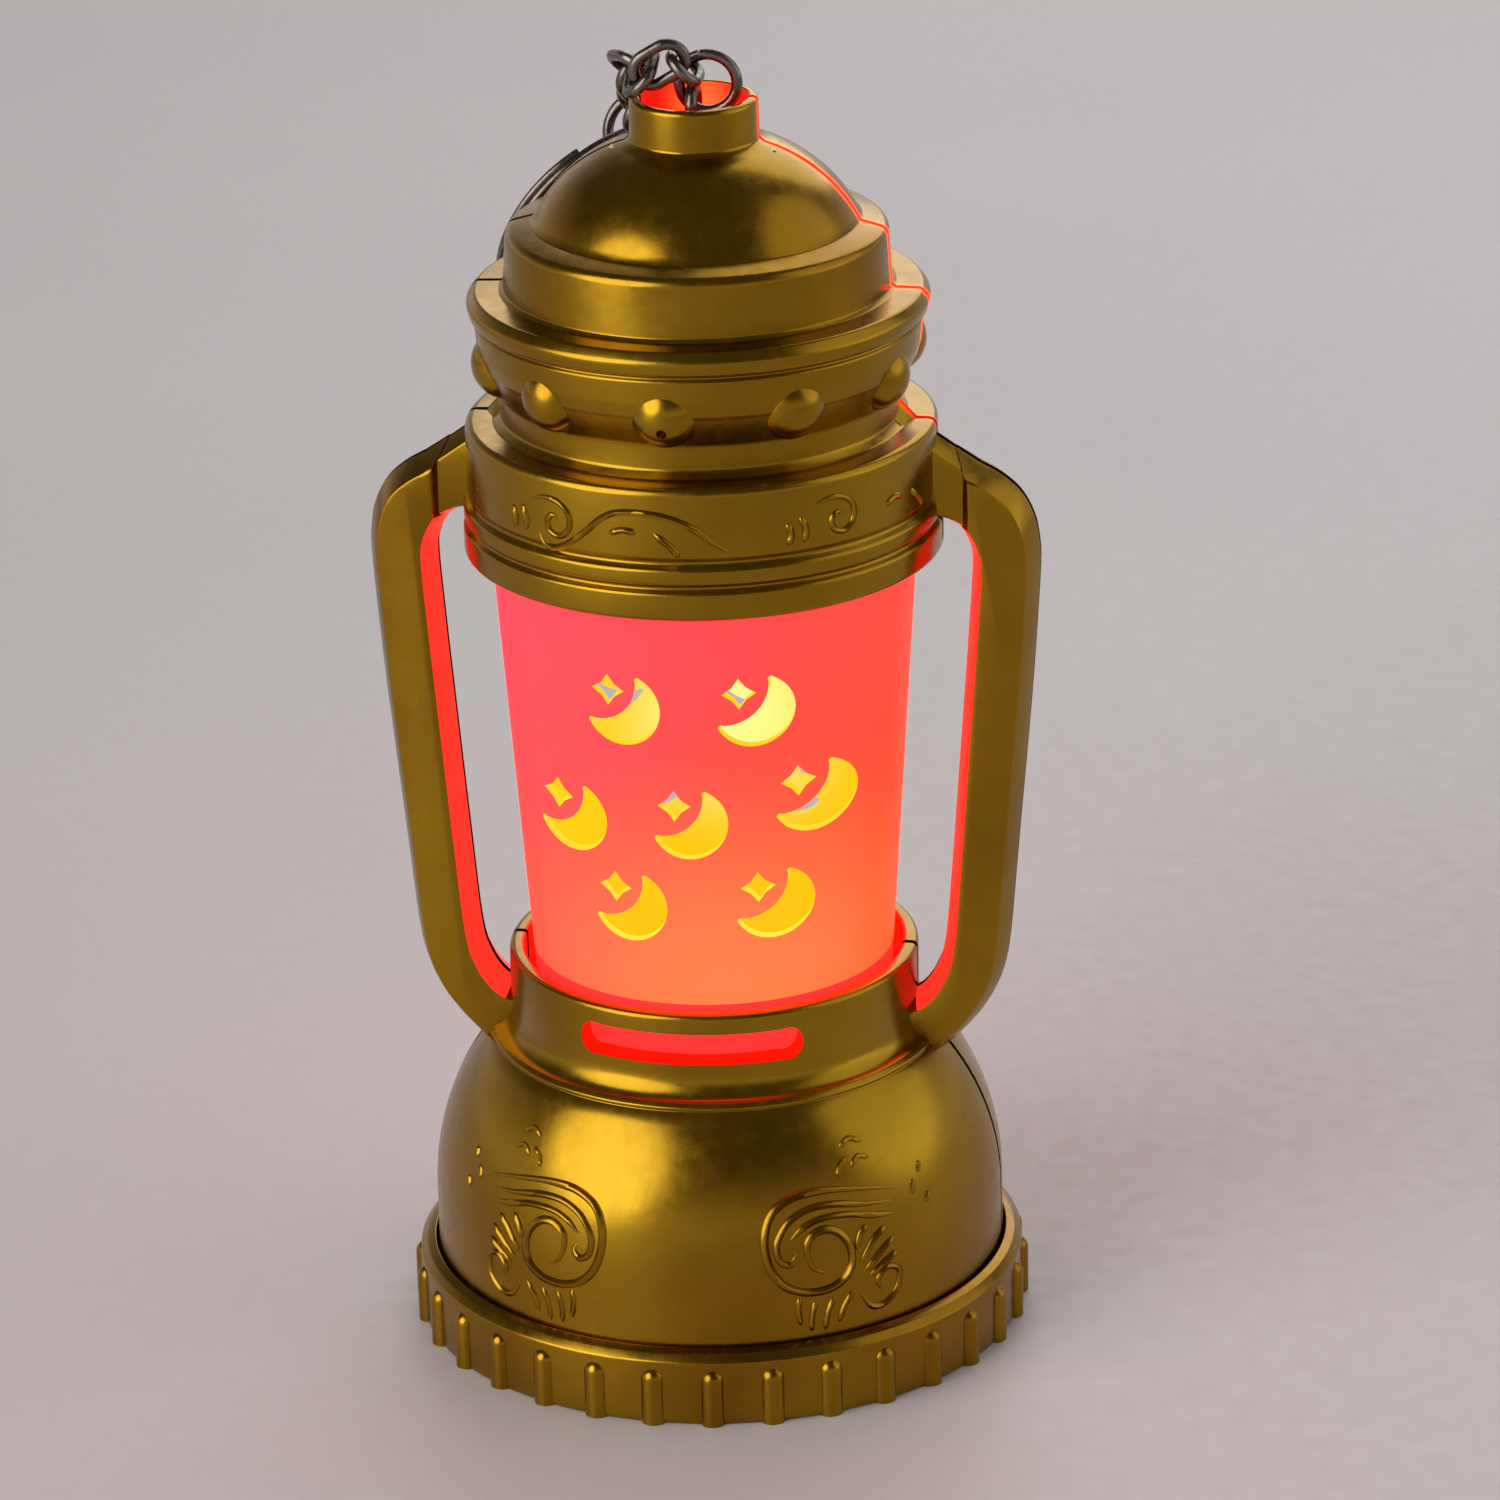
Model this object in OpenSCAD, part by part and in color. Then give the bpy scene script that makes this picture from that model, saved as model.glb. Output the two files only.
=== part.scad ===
// Small battery lantern in the shape of an old oil lantern, on a key chain.
// Frame: +Z up, front towards -Y, origin at the centre of the face that it stands on.

/* [Base cap] */
// Radius of the cap's plain wall
cap_r = 27.3; // [27.1:0.1:29]
// Height of the cap at its inner edge
cap_h = 6.9; // [5.5:0.1:9]
// Thickness of the cap's wall
cap_wall = 1.5; // [1.2:0.1:1.6]
// Height of the cap's floor above the table
foot_gap = 1; // [0.8:0.1:1.5]
// Thickness of the cap's floor
cap_floor = 2; // [1.8:0.1:2.4]
// Number of grip ribs round the cap
rib_count = 32; // [20:2:36]
// Width of a grip rib
rib_w = 2.2; // [1.4:0.1:2.4]
// How far a rib stands out of the wall
rib_proud = 0.6; // [0.3:0.05:0.9]
// Height of a rib's round head
rib_top = 5.3; // [4:0.1:5.4]

/* [Bulb and neck] */
// Height of the bulb's upright side
bulb_side_z = 12; // [9:0.5:14]
// Height of the neck flange
flange_z = 25.6; // [25.2:0.2:30]
// Radius of the neck flange
flange_r = 20.1; // [19.6:0.1:20.6]
// Radius of the neck
neck_r = 18.3; // [18.1:0.1:19]
// Height of the neck above the flange
neck_h = 9.5; // [8.5:0.1:12]
// Wall of the shells
shell_wall = 1.4; // [1.1:0.1:1.5]
// Gap between the two shells at the parting face
seam_gap = 0.1; // [0.06:0.02:0.2]
// Height of the slot in the neck
slot_h = 3.8; // [2.5:0.1:4]
// Angle from the front to where the slot's round end starts
slot_half_angle = 28; // [20:1:45]

/* [Window] */
// Height of the open window between the neck and the lip
window_h = 37.5; // [30:0.5:50]
// Radius of the diffuser at its foot
diffuser_foot_r = 15.6; // [15.4:0.1:16.4]
// Radius of the diffuser at its top
diffuser_top_r = 18.9; // [18.2:0.1:19]
// Wall of the diffuser
diffuser_wall = 1; // [0.8:0.1:1.4]
// Outer radius of a moon cut-out
moon_r = 3.4; // [2.4:0.05:3.6]
// Radius of the circle that hollows the moon
moon_bite_r = 3.75; // [3.5:0.05:4]
// Reach of a star's points
star_r = 1.45; // [1:0.05:1.6]
// Distance between neighbouring motifs of the middle row
motif_pitch = 10.6; // [9.8:0.1:11]

/* [Shoulder and roof] */
// Radius of the lip under the shoulder
lip_r = 21; // [20.9:0.1:21.6]
// Radius of the shoulder ring
shoulder_r = 20.6; // [20.5:0.1:21.2]
// Height of the shoulder ring
shoulder_h = 11.8; // [10:0.1:15]
// Radius of the drum
drum_r = 17.4; // [17:0.1:18]
// Height of the drum
drum_h = 3.6; // [3:0.1:5]
// Radius of the bell above the drum
bell_r = 19.4; // [19:0.1:19.8]
// Height of the bell
bell_h = 5.9; // [5:0.1:8]
// Radius of the brim
brim_r = 20; // [19.6:0.1:21]
// Height of the brim
brim_h = 2.3; // [2:0.1:3.5]
// Radius of the roof band
band_r = 16.6; // [16:0.1:17.4]
// Height of the roof band
band_h = 5.4; // [4:0.1:7]
// Radius of the dome's foot
dome_r = 14.3; // [13.5:0.1:15]
// Height of the dome
dome_h = 7.4; // [6.5:0.1:9]
// Radius of the collar
collar_r = 5.6; // [5.5:0.1:6.5]
// Height of the collar
collar_h = 4; // [3.6:0.1:4.4]
// Number of round bosses on the bell
boss_count = 10; // [6:1:10]
// Radius of a round boss
boss_r = 2.1; // [1.7:0.1:2.4]
// How far a round boss stands out
boss_proud = 0.9; // [0.5:0.05:1.2]
// Turn of the first boss from the front
boss_turn = -2; // [-8:1:8]
// Diameter of the pin hole in the front boss
pin_hole_d = 0.9; // [0.5:0.1:1.4]

/* [Handles] */
// Reach of the handles from the axis at the top
handle_reach = 29.7; // [29:0.1:33]
// Width of a handle at the parting line
handle_w = 6.2; // [5.4:0.1:6.6]
// Depth of the broad part of a handle
handle_depth = 5.2; // [4.4:0.1:6]
// How far the narrow face stands out of the broad part, on each side
handle_crown = 0.9; // [0.5:0.1:1.4]
// How much narrower that face is on each edge
handle_bevel = 1; // [0.6:0.05:1.2]

/* [Battery bay and switch] */
// Diameter of a button cell
cell_d = 11.6; // [11:0.1:11.7]
// Height of a button cell
cell_h = 5.4; // [5.2:0.1:5.5]
// Number of button cells
cell_count = 3; // [3:1:3]
// Place of the cell stack from the axis
cell_x = -6; // [-7:0.5:-5]
// Place of the cell stack towards the back
cell_y = 3; // [2:0.5:4]
// Length of the battery door
door_l = 29; // [28:0.5:32]
// Width of the battery door
door_w = 17; // [16:0.5:18]
// Thickness of the battery door
door_t = 1.2; // [1:0.1:1.4]
// Length of the slide switch
switch_l = 8.6; // [8:0.1:10]
// Width of the slide switch
switch_w = 3.8; // [3.4:0.1:4.2]
// Height of the slide switch
switch_h = 3.5; // [3:0.1:4.5]
// Travel of the switch knob
switch_travel = 2; // [1.5:0.1:2.4]
// Place of the switch towards the front
switch_y = -13; // [-15:0.5:-12]

/* [Light] */
// Radius of the light's board
board_r = 15.2; // [15:0.1:15.6]
// Thickness of the light's board
board_t = 1; // [0.8:0.1:1.2]
// Radius of the light's lens
led_r = 2.5; // [1.5:0.1:3]
// Height of the light's body
led_h = 8.6; // [6:0.1:9]

/* [Key chain] */
// Wire of the chain
link_wire_d = 1; // [0.8:0.05:1.1]
// Radius of the jump ring at the middle of its wire
jump_ring_r = 2.5; // [2.4:0.05:2.6]
// Radius of a chain link's round ends at the middle of its wire
link_r = 1.5; // [1.45:0.05:1.6]
// Length of a chain link's straight sides
link_side = 1.6; // [1.5:0.1:1.8]
// Radius of the end ring at the middle of its wire
end_ring_r = 2.7; // [2.5:0.05:3]
// Radius of the split ring at the middle of its wire
split_ring_r = 11; // [10:0.25:12]
// Width of the split ring seen from its side
split_ring_w = 1.5; // [1.2:0.1:1.6]
// Thickness of the split ring's wire seen along its axis
split_ring_t = 1; // [0.8:0.1:1.1]
// Wire of the eye pin
eye_wire_d = 1.1; // [1:0.05:1.2]
// Radius of the eye at the middle of its wire
eye_r = 1.7; // [1.6:0.05:1.9]
// Play between two rings that hang in each other
link_play = 0.12; // [0.1:0.01:0.2]

/* [Hidden] */
$fn = 64;

// Colours
gold = "goldenrod";
cap_gold = "darkgoldenrod";
milk = "lightpink";
steel = "silver";
black_plastic = "dimgray";

// Clearances and overrun
fit_gap = 0.1;
slip_gap = 0.2;
overrun = 1;

// Levels of the base
floor_z = foot_gap + cap_floor;
cap_in_r = cap_r - cap_wall;
bulb_r = cap_in_r - slip_gap;
seat_z = floor_z + fit_gap;

// Levels of the body
neck_top_z = flange_z + neck_h;
lip_z = neck_top_z + window_h;
shoulder_top_z = lip_z + shoulder_h;
bell_z = shoulder_top_z + drum_h;
brim_z = bell_z + bell_h;
band_z = brim_z + brim_h;
dome_z = band_z + band_h;
collar_z = dome_z + dome_h;
top_z = collar_z + collar_h;

// Levels of the light's board, which a groove in the shells holds
ledge_t = 1;
roof_z = flange_z - ledge_t - slip_gap;
groove_z = roof_z + ledge_t;
board_z = groove_z + fit_gap;
groove_top_z = board_z + board_t + fit_gap;
ledge_top_z = groove_top_z + ledge_t;
ledge_in_r = board_r - 1.6 * board_t;
neck_in_r = neck_r - shell_wall;
bulb_in_r = bulb_r - shell_wall;

// Levels of the diffuser
diffuser_z = ledge_top_z + slip_gap;
diffuser_cover_share = 0.3;
diffuser_top_z = lip_z + shoulder_h * diffuser_cover_share;

// Level of the middle of the neck's slot
slot_drop_share = 0.31;
slot_z = neck_top_z - neck_h * slot_drop_share;

// Points of an arc from p to q that bows out by a share of its chord
function bow(p, q, share, n) =
    let (chord = norm(q - p),
         along = (q - p) / chord,
         out = [along[1], -along[0]],
         half = 2 * atan(2 * share),
         radius = chord / 2 / sin(half),
         mid = (p + q) / 2 - out * radius * cos(half))
    [for (i = [0:n]) let (a = half * (2 * i / n - 1)) mid + radius * (out * cos(a) + along * sin(a))];

// Outline of the lower half of the body, from the seat up
bulb_bow_share = 0.08;
flange_bow_share = -0.16;
flange_edge = shell_wall * 0.6;
bulb_top_r = flange_r + flange_edge * 1.2;
function lower_outline() = concat(
    [[0, seat_z], [bulb_r, seat_z]],
    bow([bulb_r, bulb_side_z], [bulb_top_r, flange_z], bulb_bow_share, 6),
    [[flange_r + flange_edge * 0.4, flange_z + flange_edge * 0.3]],
    bow([flange_r, flange_z + flange_edge], [neck_r, flange_z + 4 * flange_edge], flange_bow_share, 4),
    [[neck_r, neck_top_z - flange_edge * 0.6], [neck_r - flange_edge * 0.6, neck_top_z], [0, neck_top_z]]);

// Hollow of the lower half, with the groove that holds the board
roof_in_r = bulb_top_r - shell_wall;
function lower_hollow() = concat(
    [[0, seat_z - overrun], [bulb_in_r, seat_z - overrun]],
    bow([bulb_in_r, bulb_side_z], [roof_in_r, roof_z], bulb_bow_share, 6),
    [[ledge_in_r, roof_z], [ledge_in_r, groove_z], [board_r + fit_gap, groove_z],
     [board_r + fit_gap, groove_top_z], [ledge_in_r, groove_top_z], [ledge_in_r, ledge_top_z],
     [neck_in_r, ledge_top_z], [neck_in_r, neck_top_z + overrun], [0, neck_top_z + overrun]]);

// Outline of the upper half of the body, from the lip up
bead = shoulder_h * 0.06;
crease_share = 0.38;
crease_z = bell_z + bell_h * crease_share;
bell_low_r = bell_r - bell_h * 0.08;
bell_bow_share = 0.12;
dome_bow_share = 0.08;
function upper_outline() = concat(
    [[0, lip_z], [lip_r - bead, lip_z], [lip_r, lip_z + bead], [lip_r, lip_z + 2.4 * bead],
     [shoulder_r - bead / 3, lip_z + 3.4 * bead], [shoulder_r + bead / 3, lip_z + 4.2 * bead],
     [shoulder_r + bead / 3, lip_z + 5.6 * bead], [shoulder_r - bead / 3, lip_z + 6.4 * bead],
     [shoulder_r, lip_z + 7.4 * bead]],
    bow([shoulder_r, shoulder_top_z - 1.2 * bead], [shoulder_r - 1.2 * bead, shoulder_top_z], 0.2, 3),
    [[drum_r + bead, shoulder_top_z - bead / 2], [drum_r + bead / 2, shoulder_top_z]],
    bow([drum_r + bead / 2, shoulder_top_z + bead / 2], [drum_r, shoulder_top_z + 1.6 * bead], -0.15, 3),
    bow([drum_r, bell_z - drum_h * 0.2], [bell_low_r - bead / 4, crease_z - bead / 2], bell_bow_share, 4),
    bow([bell_low_r, crease_z], [bell_r, brim_z - bead], bell_bow_share / 3, 3),
    [[bell_r - bead / 4, brim_z]],
    bow([bell_r + bead / 4, brim_z], [brim_r - bead, band_z - bead / 3], 0.32, 5),
    [[band_r + 1.6 * bead, band_z], [band_r + bead, band_z - bead / 4],
     [band_r + bead / 4, band_z + bead / 2], [band_r, band_z + 1.6 * bead]],
    bow([band_r - bead / 8, dome_z - bead], [band_r - 1.2 * bead, dome_z + bead / 2], 0.2, 3),
    [[dome_r + bead / 4, dome_z + bead / 2]],
    bow([dome_r, dome_z + bead / 2], [collar_r + bead / 2, collar_z - bead / 4], dome_bow_share, 7),
    [[collar_r, collar_z + bead / 2]],
    bow([collar_r, top_z - bead], [collar_r - bead, top_z], 0.2, 3),
    [[0, top_z]]);

// Hollow of the upper half
stop_r = diffuser_top_r - 2 * diffuser_wall;
stop_z = diffuser_top_z + slip_gap;
shoulder_in_r = shoulder_r - shell_wall;
drum_in_r = drum_r - shell_wall;
bell_in_r = bell_r - 1.2 * shell_wall;
band_in_r = band_r - shell_wall;
collar_in_r = collar_r - 0.7 * shell_wall;
function upper_hollow() = concat(
    [[0, lip_z - overrun], [shoulder_in_r, lip_z - overrun], [shoulder_in_r, stop_z], [stop_r, stop_z],
     [stop_r, stop_z + ledge_t], [shoulder_in_r, stop_z + ledge_t],
     [shoulder_in_r, shoulder_top_z - shell_wall], [drum_in_r, shoulder_top_z - shell_wall],
     [drum_in_r, bell_z], [bell_in_r, crease_z], [bell_in_r, brim_z],
     [band_in_r, band_z], [band_in_r, dome_z - shell_wall], [dome_r - shell_wall, dome_z]],
    bow([dome_r - 1.2 * shell_wall, dome_z + bead / 2],
        [collar_in_r + shell_wall / 2, collar_z - shell_wall], dome_bow_share, 7),
    [[collar_in_r, collar_z - shell_wall / 2], [collar_in_r, top_z + overrun], [0, top_z + overrun]]);

// Outline of a handle in the parting plane. Each pair is a share of the reach or of the
// handle's width, and a share of the shoulder's height above the lip or of the neck's above the flange.
handle_top_out_shares = [[0.572, 1.186], [0.66, 0.958], [0.731, 0.83], [0.805, 0.703], [0.882, 0.593],
                         [0.943, 0.458], [0.983, 0.271], [1, 0.034]];
handle_low_out_shares = [[0.899, 1.053], [0.875, 0.705], [0.835, 0.442], [0.785, 0.221], [0.694, -0.063]];
handle_top_in_shares = [[1.694, 0.144], [1.532, 0.229], [1.339, 0.22], [1.145, 0.153], [1.032, 0.034],
                        [1, -0.136]];
handle_low_in_shares = [[1.419, 1.095], [1.532, 0.842], [1.694, 0.663], [1.839, 0.568]];
crown_start_share = 0.785;
function top_out(trim) = [for (s = handle_top_out_shares)
    [handle_reach * s[0] - trim, lip_z + shoulder_h * s[1] - trim]];
function low_out(trim) = [for (s = handle_low_out_shares)
    [handle_reach * s[0] - trim, flange_z + neck_h * s[1]]];
function top_in(trim) = [for (s = handle_top_in_shares)
    [handle_reach - handle_w * s[0] + trim, lip_z + shoulder_h * s[1] + trim]];
function low_in(trim) = [for (s = handle_low_in_shares)
    [handle_reach - handle_w * s[0] + trim, flange_z + neck_h * s[1] - trim / 2]];
handle_root_r = drum_in_r;
handle_root_z = lip_z + shoulder_h * handle_top_in_shares[0][1];
function handle_outline() = concat(
    top_out(0), low_out(0),
    [[neck_in_r, flange_z - neck_h * 0.063], [neck_in_r, flange_z + neck_h * 0.568]],
    [for (i = [len(handle_low_in_shares) - 1:-1:0]) low_in(0)[i]],
    [for (i = [len(handle_top_in_shares) - 1:-1:0]) top_in(0)[i]],
    [[handle_root_r, handle_root_z]]);
crown_start_r = handle_reach * crown_start_share;
function crown_outline() = concat(
    [[crown_start_r, lip_z + shoulder_h * 0.67]],
    [for (i = [4:len(handle_top_out_shares) - 1]) top_out(handle_bevel)[i]],
    low_out(handle_bevel),
    [[neck_in_r, flange_z - neck_h * 0.05], [neck_in_r, flange_z + neck_h * 0.5]],
    [for (i = [len(handle_low_in_shares) - 1:-1:0]) low_in(handle_bevel)[i]],
    [for (i = [len(handle_top_in_shares) - 1:-1:3]) top_in(handle_bevel)[i]],
    [[crown_start_r, lip_z + shoulder_h * 0.26]]);

// Screw posts of the shells
base_post_r = 2.4;
base_post_h = 9;
base_post_skin = 0.3;
base_screw_ring = bulb_r - base_post_r - base_post_skin;
base_screw_turn = 52;
base_screw_r = 0.95;
base_head_r = 1.9;
base_head_h = 0.9;
base_screw_l = 8;
roof_post_x = 6;
roof_post_z = shoulder_top_z + drum_h * 0.6;
roof_post_r = 2.3;
roof_post_l = drum_in_r * 0.95;
roof_screw_r = 0.7;
roof_head_r = 1.7;
roof_head_h = 1.2;
roof_seat_y = 6;
roof_screw_l = 11;

// Locating pins in the handles
pin_r = 0.8;
pin_l = 1.6;
pin_x = handle_reach * 0.963 - handle_w / 2;
pin_z = (neck_top_z + lip_z) / 2 + window_h * 0.05;

// Bridge that holds the eye pin in the collar
bridge_w = 3.2;
bridge_t = 1.6;
bridge_z = collar_z - bridge_t - bead / 2;
bridge_half = collar_r + bridge_t;
shank_r = 0.6;
foot_r = 1.4;
foot_t = 1;
eye_drop_share = 0.82;
eye_z = top_z - eye_wire_d * eye_drop_share;

// Place and size of the round bosses on the bell
boss_ball_r = (boss_r * boss_r + boss_proud * boss_proud) / (2 * boss_proud);
boss_z = crease_z - boss_r * 0.1;
pin_drop_share = 0.45;
pin_hole_z = boss_z - boss_r * pin_drop_share;
boss_centre_r = bell_low_r + boss_proud - boss_ball_r - bead / 4;

// Battery bay
cell_gap = 0.3;
hole_rim = 0.8;
holder_in_r = cell_d / 2 + cell_gap;
hole_r = holder_in_r + hole_rim;
holder_wall = 1.7;
holder_r = holder_in_r + holder_wall;
contact_t = 0.3;
contact_gap = 0.05;
cells_z = floor_z + contact_t + contact_gap;
cells_top_z = cells_z + cell_count * cell_h;
spring_h = 2.2;
spring_wire_r = 0.3;
spring_turns = 3;
spring_big_r = 4.4;
spring_small_r = 1.6;
top_contact_z = cells_top_z + 2 * contact_gap + spring_h;
holder_roof_z = top_contact_z + contact_t + contact_gap;
holder_roof_t = 1.2;
holder_top_z = holder_roof_z + holder_roof_t;
strip_w = 3;
strip_x = cell_x + holder_in_r + contact_gap;
strip_top_z = holder_top_z + 2 * contact_t;
ear_w = 4.4;
ear_t = 1.6;
ear_lift = 3;
ear_z = floor_z + ear_lift;
ear_hole_y = holder_r + ear_w / 2;
ear_l = 2 * ear_hole_y + ear_w;
ear_post_r = 2;
holder_screw_r = 0.7;
holder_head_r = 1.4;
holder_head_h = 0.9;
holder_screw_l = 4.6;

// Battery door
door_corner_r = 2;
door_post_r = 2.4;
door_post_h = 4.5;
door_screw_r = 0.85;
door_head_r = 1.9;
door_head_h = 0.6;
door_screw_l = 4.6;
door_spigot_r = hole_r - 2 * slip_gap;
thumb_r = 1.2;
door_x = cell_x + door_l / 2 - hole_r - door_t;
door_screw_x = door_x + door_l / 2 - door_head_r - door_t - fit_gap;

// Slide switch
knob_l = 2.2;
knob_w = 1.9;
knob_tip_z = 0.35;
knob_in_h = 1;
knob_slot_l = knob_l + switch_travel + 2 * slip_gap;
knob_slot_w = knob_w + 2 * slip_gap;
pin_count = 3;
pin_pitch = 2.5;
pin_w = 0.6;
pin_h = 1.8;
clamp_t = 1.2;

// Light
led_flange_r = led_r * 1.16;
led_flange_h = 1;
resistor_l = 3.2;
resistor_w = 1.6;
resistor_h = 0.6;

// Moon and star motifs, cut straight through from the front and the back: each one's place across
// as a share of their distance, and its height as a share of the window's
motif_places_share = [[-0.481, 0.752], [0.594, 0.752], [-0.972, 0.453], [0.042, 0.472],
                      [1.033, 0.515], [-0.481, 0.251], [0.698, 0.259]];
motif_start_share = 0.4;
bite_shift_share = 0.728;
star_shift_shares = [-0.36, 0.48];
star_waist_share = 0.58;

// Key chain, from the eye to the split ring: where each piece hooks on the one before it,
// as an angle round that piece's end, and how far it swings there
link_count = 8;
hook_angles = [0, -120, 75, 15, 45, -45, -15, 15, 0, 60, 0];
swing_angles = [75, -90, 75, -105, 0, 0, -15, -30, 15, -75, 45];
link_radii = [for (i = [1:link_count]) link_r];
ring_radii = concat([eye_r, jump_ring_r], link_radii, [end_ring_r, split_ring_r]);
half_sides = concat([0, 0], link_radii * (link_side / 2 / link_r), [0, 0]);
hold_radii = concat([eye_wire_d / 2], [for (i = [1:link_count + 2]) link_wire_d / 2], [split_ring_w / 2]);

// Routes of the three wires inside. A step is the share of the way from start to finish, along each axis
lead_r = 0.45;
pin_top_z = floor_z + contact_gap + switch_h + pin_h + lead_r;
under_board_z = board_z - fit_gap;
function route(start, finish, steps) = concat([start],
    [for (s = steps) [for (i = [0:2]) start[i] + (finish[i] - start[i]) * s[i]]], [finish]);
positive_steps_share = [[0, 0, 0.27], [0.1, 0.12, 0.53], [0.5, 0.5, 0.73], [0.9, 0.88, 0.87]];
negative_steps_share = [[0.63, 0.025, -0.026], [1.37, 0.087, 0.013], [1.79, 0.187, 0.208],
                        [1.89, 0.437, 0.532], [1.68, 0.75, 0.792], [1.26, 0.962, 0.922]];
switch_steps_share = [[0.14, -0.15, 0.133], [0.54, -0.25, 0.373], [1, 0, 0.675], [1.11, 0.5, 0.88],
                      [1, 0.9, 0.964]];
positive_route = route([cell_x, cell_y, holder_roof_z + slip_gap],
    [cell_x + board_r * 0.13, cell_y + board_r * 0.105, under_board_z], positive_steps_share);
negative_route = route([strip_x + 1.5 * contact_t, cell_y, strip_top_z + slip_gap],
    [pin_pitch, switch_y, pin_top_z], negative_steps_share);
switch_route = route([-pin_pitch, switch_y, pin_top_z],
    [cell_x, -board_r * 0.6, under_board_z], switch_steps_share);

// Frames and mesh of a tube that follows a list of points
function unit(v) = v / norm(v);
function step_dir(p, i) = unit(p[min(i + 1, len(p) - 1)] - p[max(i - 1, 0)]);
function side_dir(d) = unit(cross(d, abs(d[0]) > 0.8 ? [0, 1, 0] : [1, 0, 0]));
module tube(points, radius, sides) {
    count = len(points);
    rings = [for (i = [0:count - 1], j = [0:sides - 1])
        let (d = step_dir(points, i), u = side_dir(d), v = cross(d, u), a = 360 * j / sides)
        points[i] + radius * (u * cos(a) + v * sin(a))];
    walls = [for (i = [0:count - 2], j = [0:sides - 1])
        let (k = (j + 1) % sides, a = i * sides + j, b = i * sides + k)
        each [[a, a + sides, b + sides], [a, b + sides, b]]];
    foot = [for (j = [1:sides - 2]) [0, j, j + 1]];
    head = [for (j = [1:sides - 2]) let (s = (count - 1) * sides) [s, s + j + 1, s + j]];
    polyhedron(rings, concat(walls, foot, head), convexity = 4);
}

// Spring's centre line, closing in as it climbs
spring_steps = 8;
function spring_line() = [for (i = [0:spring_turns * spring_steps])
    let (t = i / (spring_turns * spring_steps), a = 360 * i / spring_steps,
         r = spring_big_r + (spring_small_r - spring_big_r) * t)
    [r * cos(a), r * sin(a), spring_wire_r + (spring_h - 2 * spring_wire_r) * t]];
line = spring_line();
spring_gap = min([for (i = [0:len(line) - 1], j = [0:len(line) - 1])
    if (j - i >= spring_steps / 2) norm(line[j] - line[i])]) - 2 * spring_wire_r;
echo(spring_gap = spring_gap);

// Screw with a flat head at the origin, head down and shank up
module screw(head_r, head_h, shank, length) {
    slot_w = head_r * 0.24;
    slot_l = head_r * 1.2;
    difference() {
        union() {
            cylinder(h = head_h, r = head_r);
            translate([0, 0, head_h / 2]) cylinder(h = head_h / 2 + length, r = shank);
        }
        for (turn = [0, 90]) rotate([0, 0, turn])
            translate([-slot_l / 2, -slot_w / 2, -overrun]) cube([slot_l, slot_w, overrun + head_h / 2]);
    }
}

// Places that repeat
module at_base_screws() {
    for (side = [0, 180], turn = [-base_screw_turn, base_screw_turn]) rotate([0, 0, side + turn])
        translate([base_screw_ring, 0, 0]) children();
}
module at_roof_screws() {
    for (side = [-1, 1]) translate([side * roof_post_x, 0, roof_post_z]) rotate([-90, 0, 0]) children();
}
module at_holder_screws() {
    for (side = [-1, 1]) translate([cell_x, cell_y + side * ear_hole_y, 0]) children();
}

// Body before it is parted
module handle_pair() {
    for (side = [0, 1]) mirror([side, 0, 0]) rotate([90, 0, 0]) {
        linear_extrude(height = handle_depth, center = true) polygon(handle_outline());
        linear_extrude(height = handle_depth + 2 * handle_crown, center = true) polygon(crown_outline());
    }
}
module bosses() {
    for (i = [0:boss_count - 1]) rotate([0, 0, boss_turn + i * 360 / boss_count])
        translate([0, -boss_centre_r, boss_z]) sphere(r = boss_ball_r);
}
module slots() {
    for (turn = [-90, 90]) rotate([0, 0, turn]) {
        rotate([0, 0, -slot_half_angle]) rotate_extrude(angle = 2 * slot_half_angle)
            translate([neck_in_r - overrun, slot_z - slot_h / 2])
                square([shell_wall + 2 * overrun, slot_h]);
        for (end = [-1, 1]) rotate([0, 0, end * slot_half_angle])
            translate([neck_in_r - overrun, 0, slot_z]) rotate([0, 90, 0])
                cylinder(h = shell_wall + 2 * overrun, r = slot_h / 2);
    }
}

module body_walls() {
    difference() {
        union() {
            rotate_extrude() polygon(lower_outline());
            rotate_extrude() polygon(upper_outline());
            bosses();
            handle_pair();
        }
        rotate_extrude() polygon(lower_hollow());
        rotate_extrude() polygon(upper_hollow());
        slots();
        rotate([0, 0, boss_turn]) translate([0, -drum_in_r + overrun, pin_hole_z]) rotate([90, 0, 0])
            cylinder(h = brim_r, d = pin_hole_d);
    }
}

// Posts and bridge inside the body
module base_posts() {
    at_base_screws() difference() {
        translate([0, 0, seat_z]) cylinder(h = base_post_h, r = base_post_r);
        translate([0, 0, seat_z - overrun]) cylinder(h = base_post_h, r = base_screw_r + contact_gap);
    }
}
module bridge() {
    difference() {
        translate([-bridge_half, -bridge_w / 2, bridge_z]) cube([2 * bridge_half, bridge_w, bridge_t]);
        translate([0, 0, bridge_z - overrun]) cylinder(h = bridge_t + 2 * overrun, r = shank_r + fit_gap);
    }
}
module front_posts() {
    at_roof_screws() translate([0, 0, -roof_post_l]) cylinder(h = roof_post_l, r = roof_post_r);
}
module back_posts() {
    at_roof_screws() cylinder(h = roof_post_l, r = roof_post_r);
}
module half_space(side) {
    reach = 2 * handle_reach;
    translate([-reach, side > 0 ? seam_gap / 2 : -reach - seam_gap / 2, -reach])
        cube([2 * reach, reach, top_z + 2 * reach]);
}
module pins(radius, length) {
    for (side = [-1, 1]) translate([side * pin_x, -pin_l / 2, pin_z]) rotate([-90, 0, 0])
        cylinder(h = length, r = radius);
}

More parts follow.
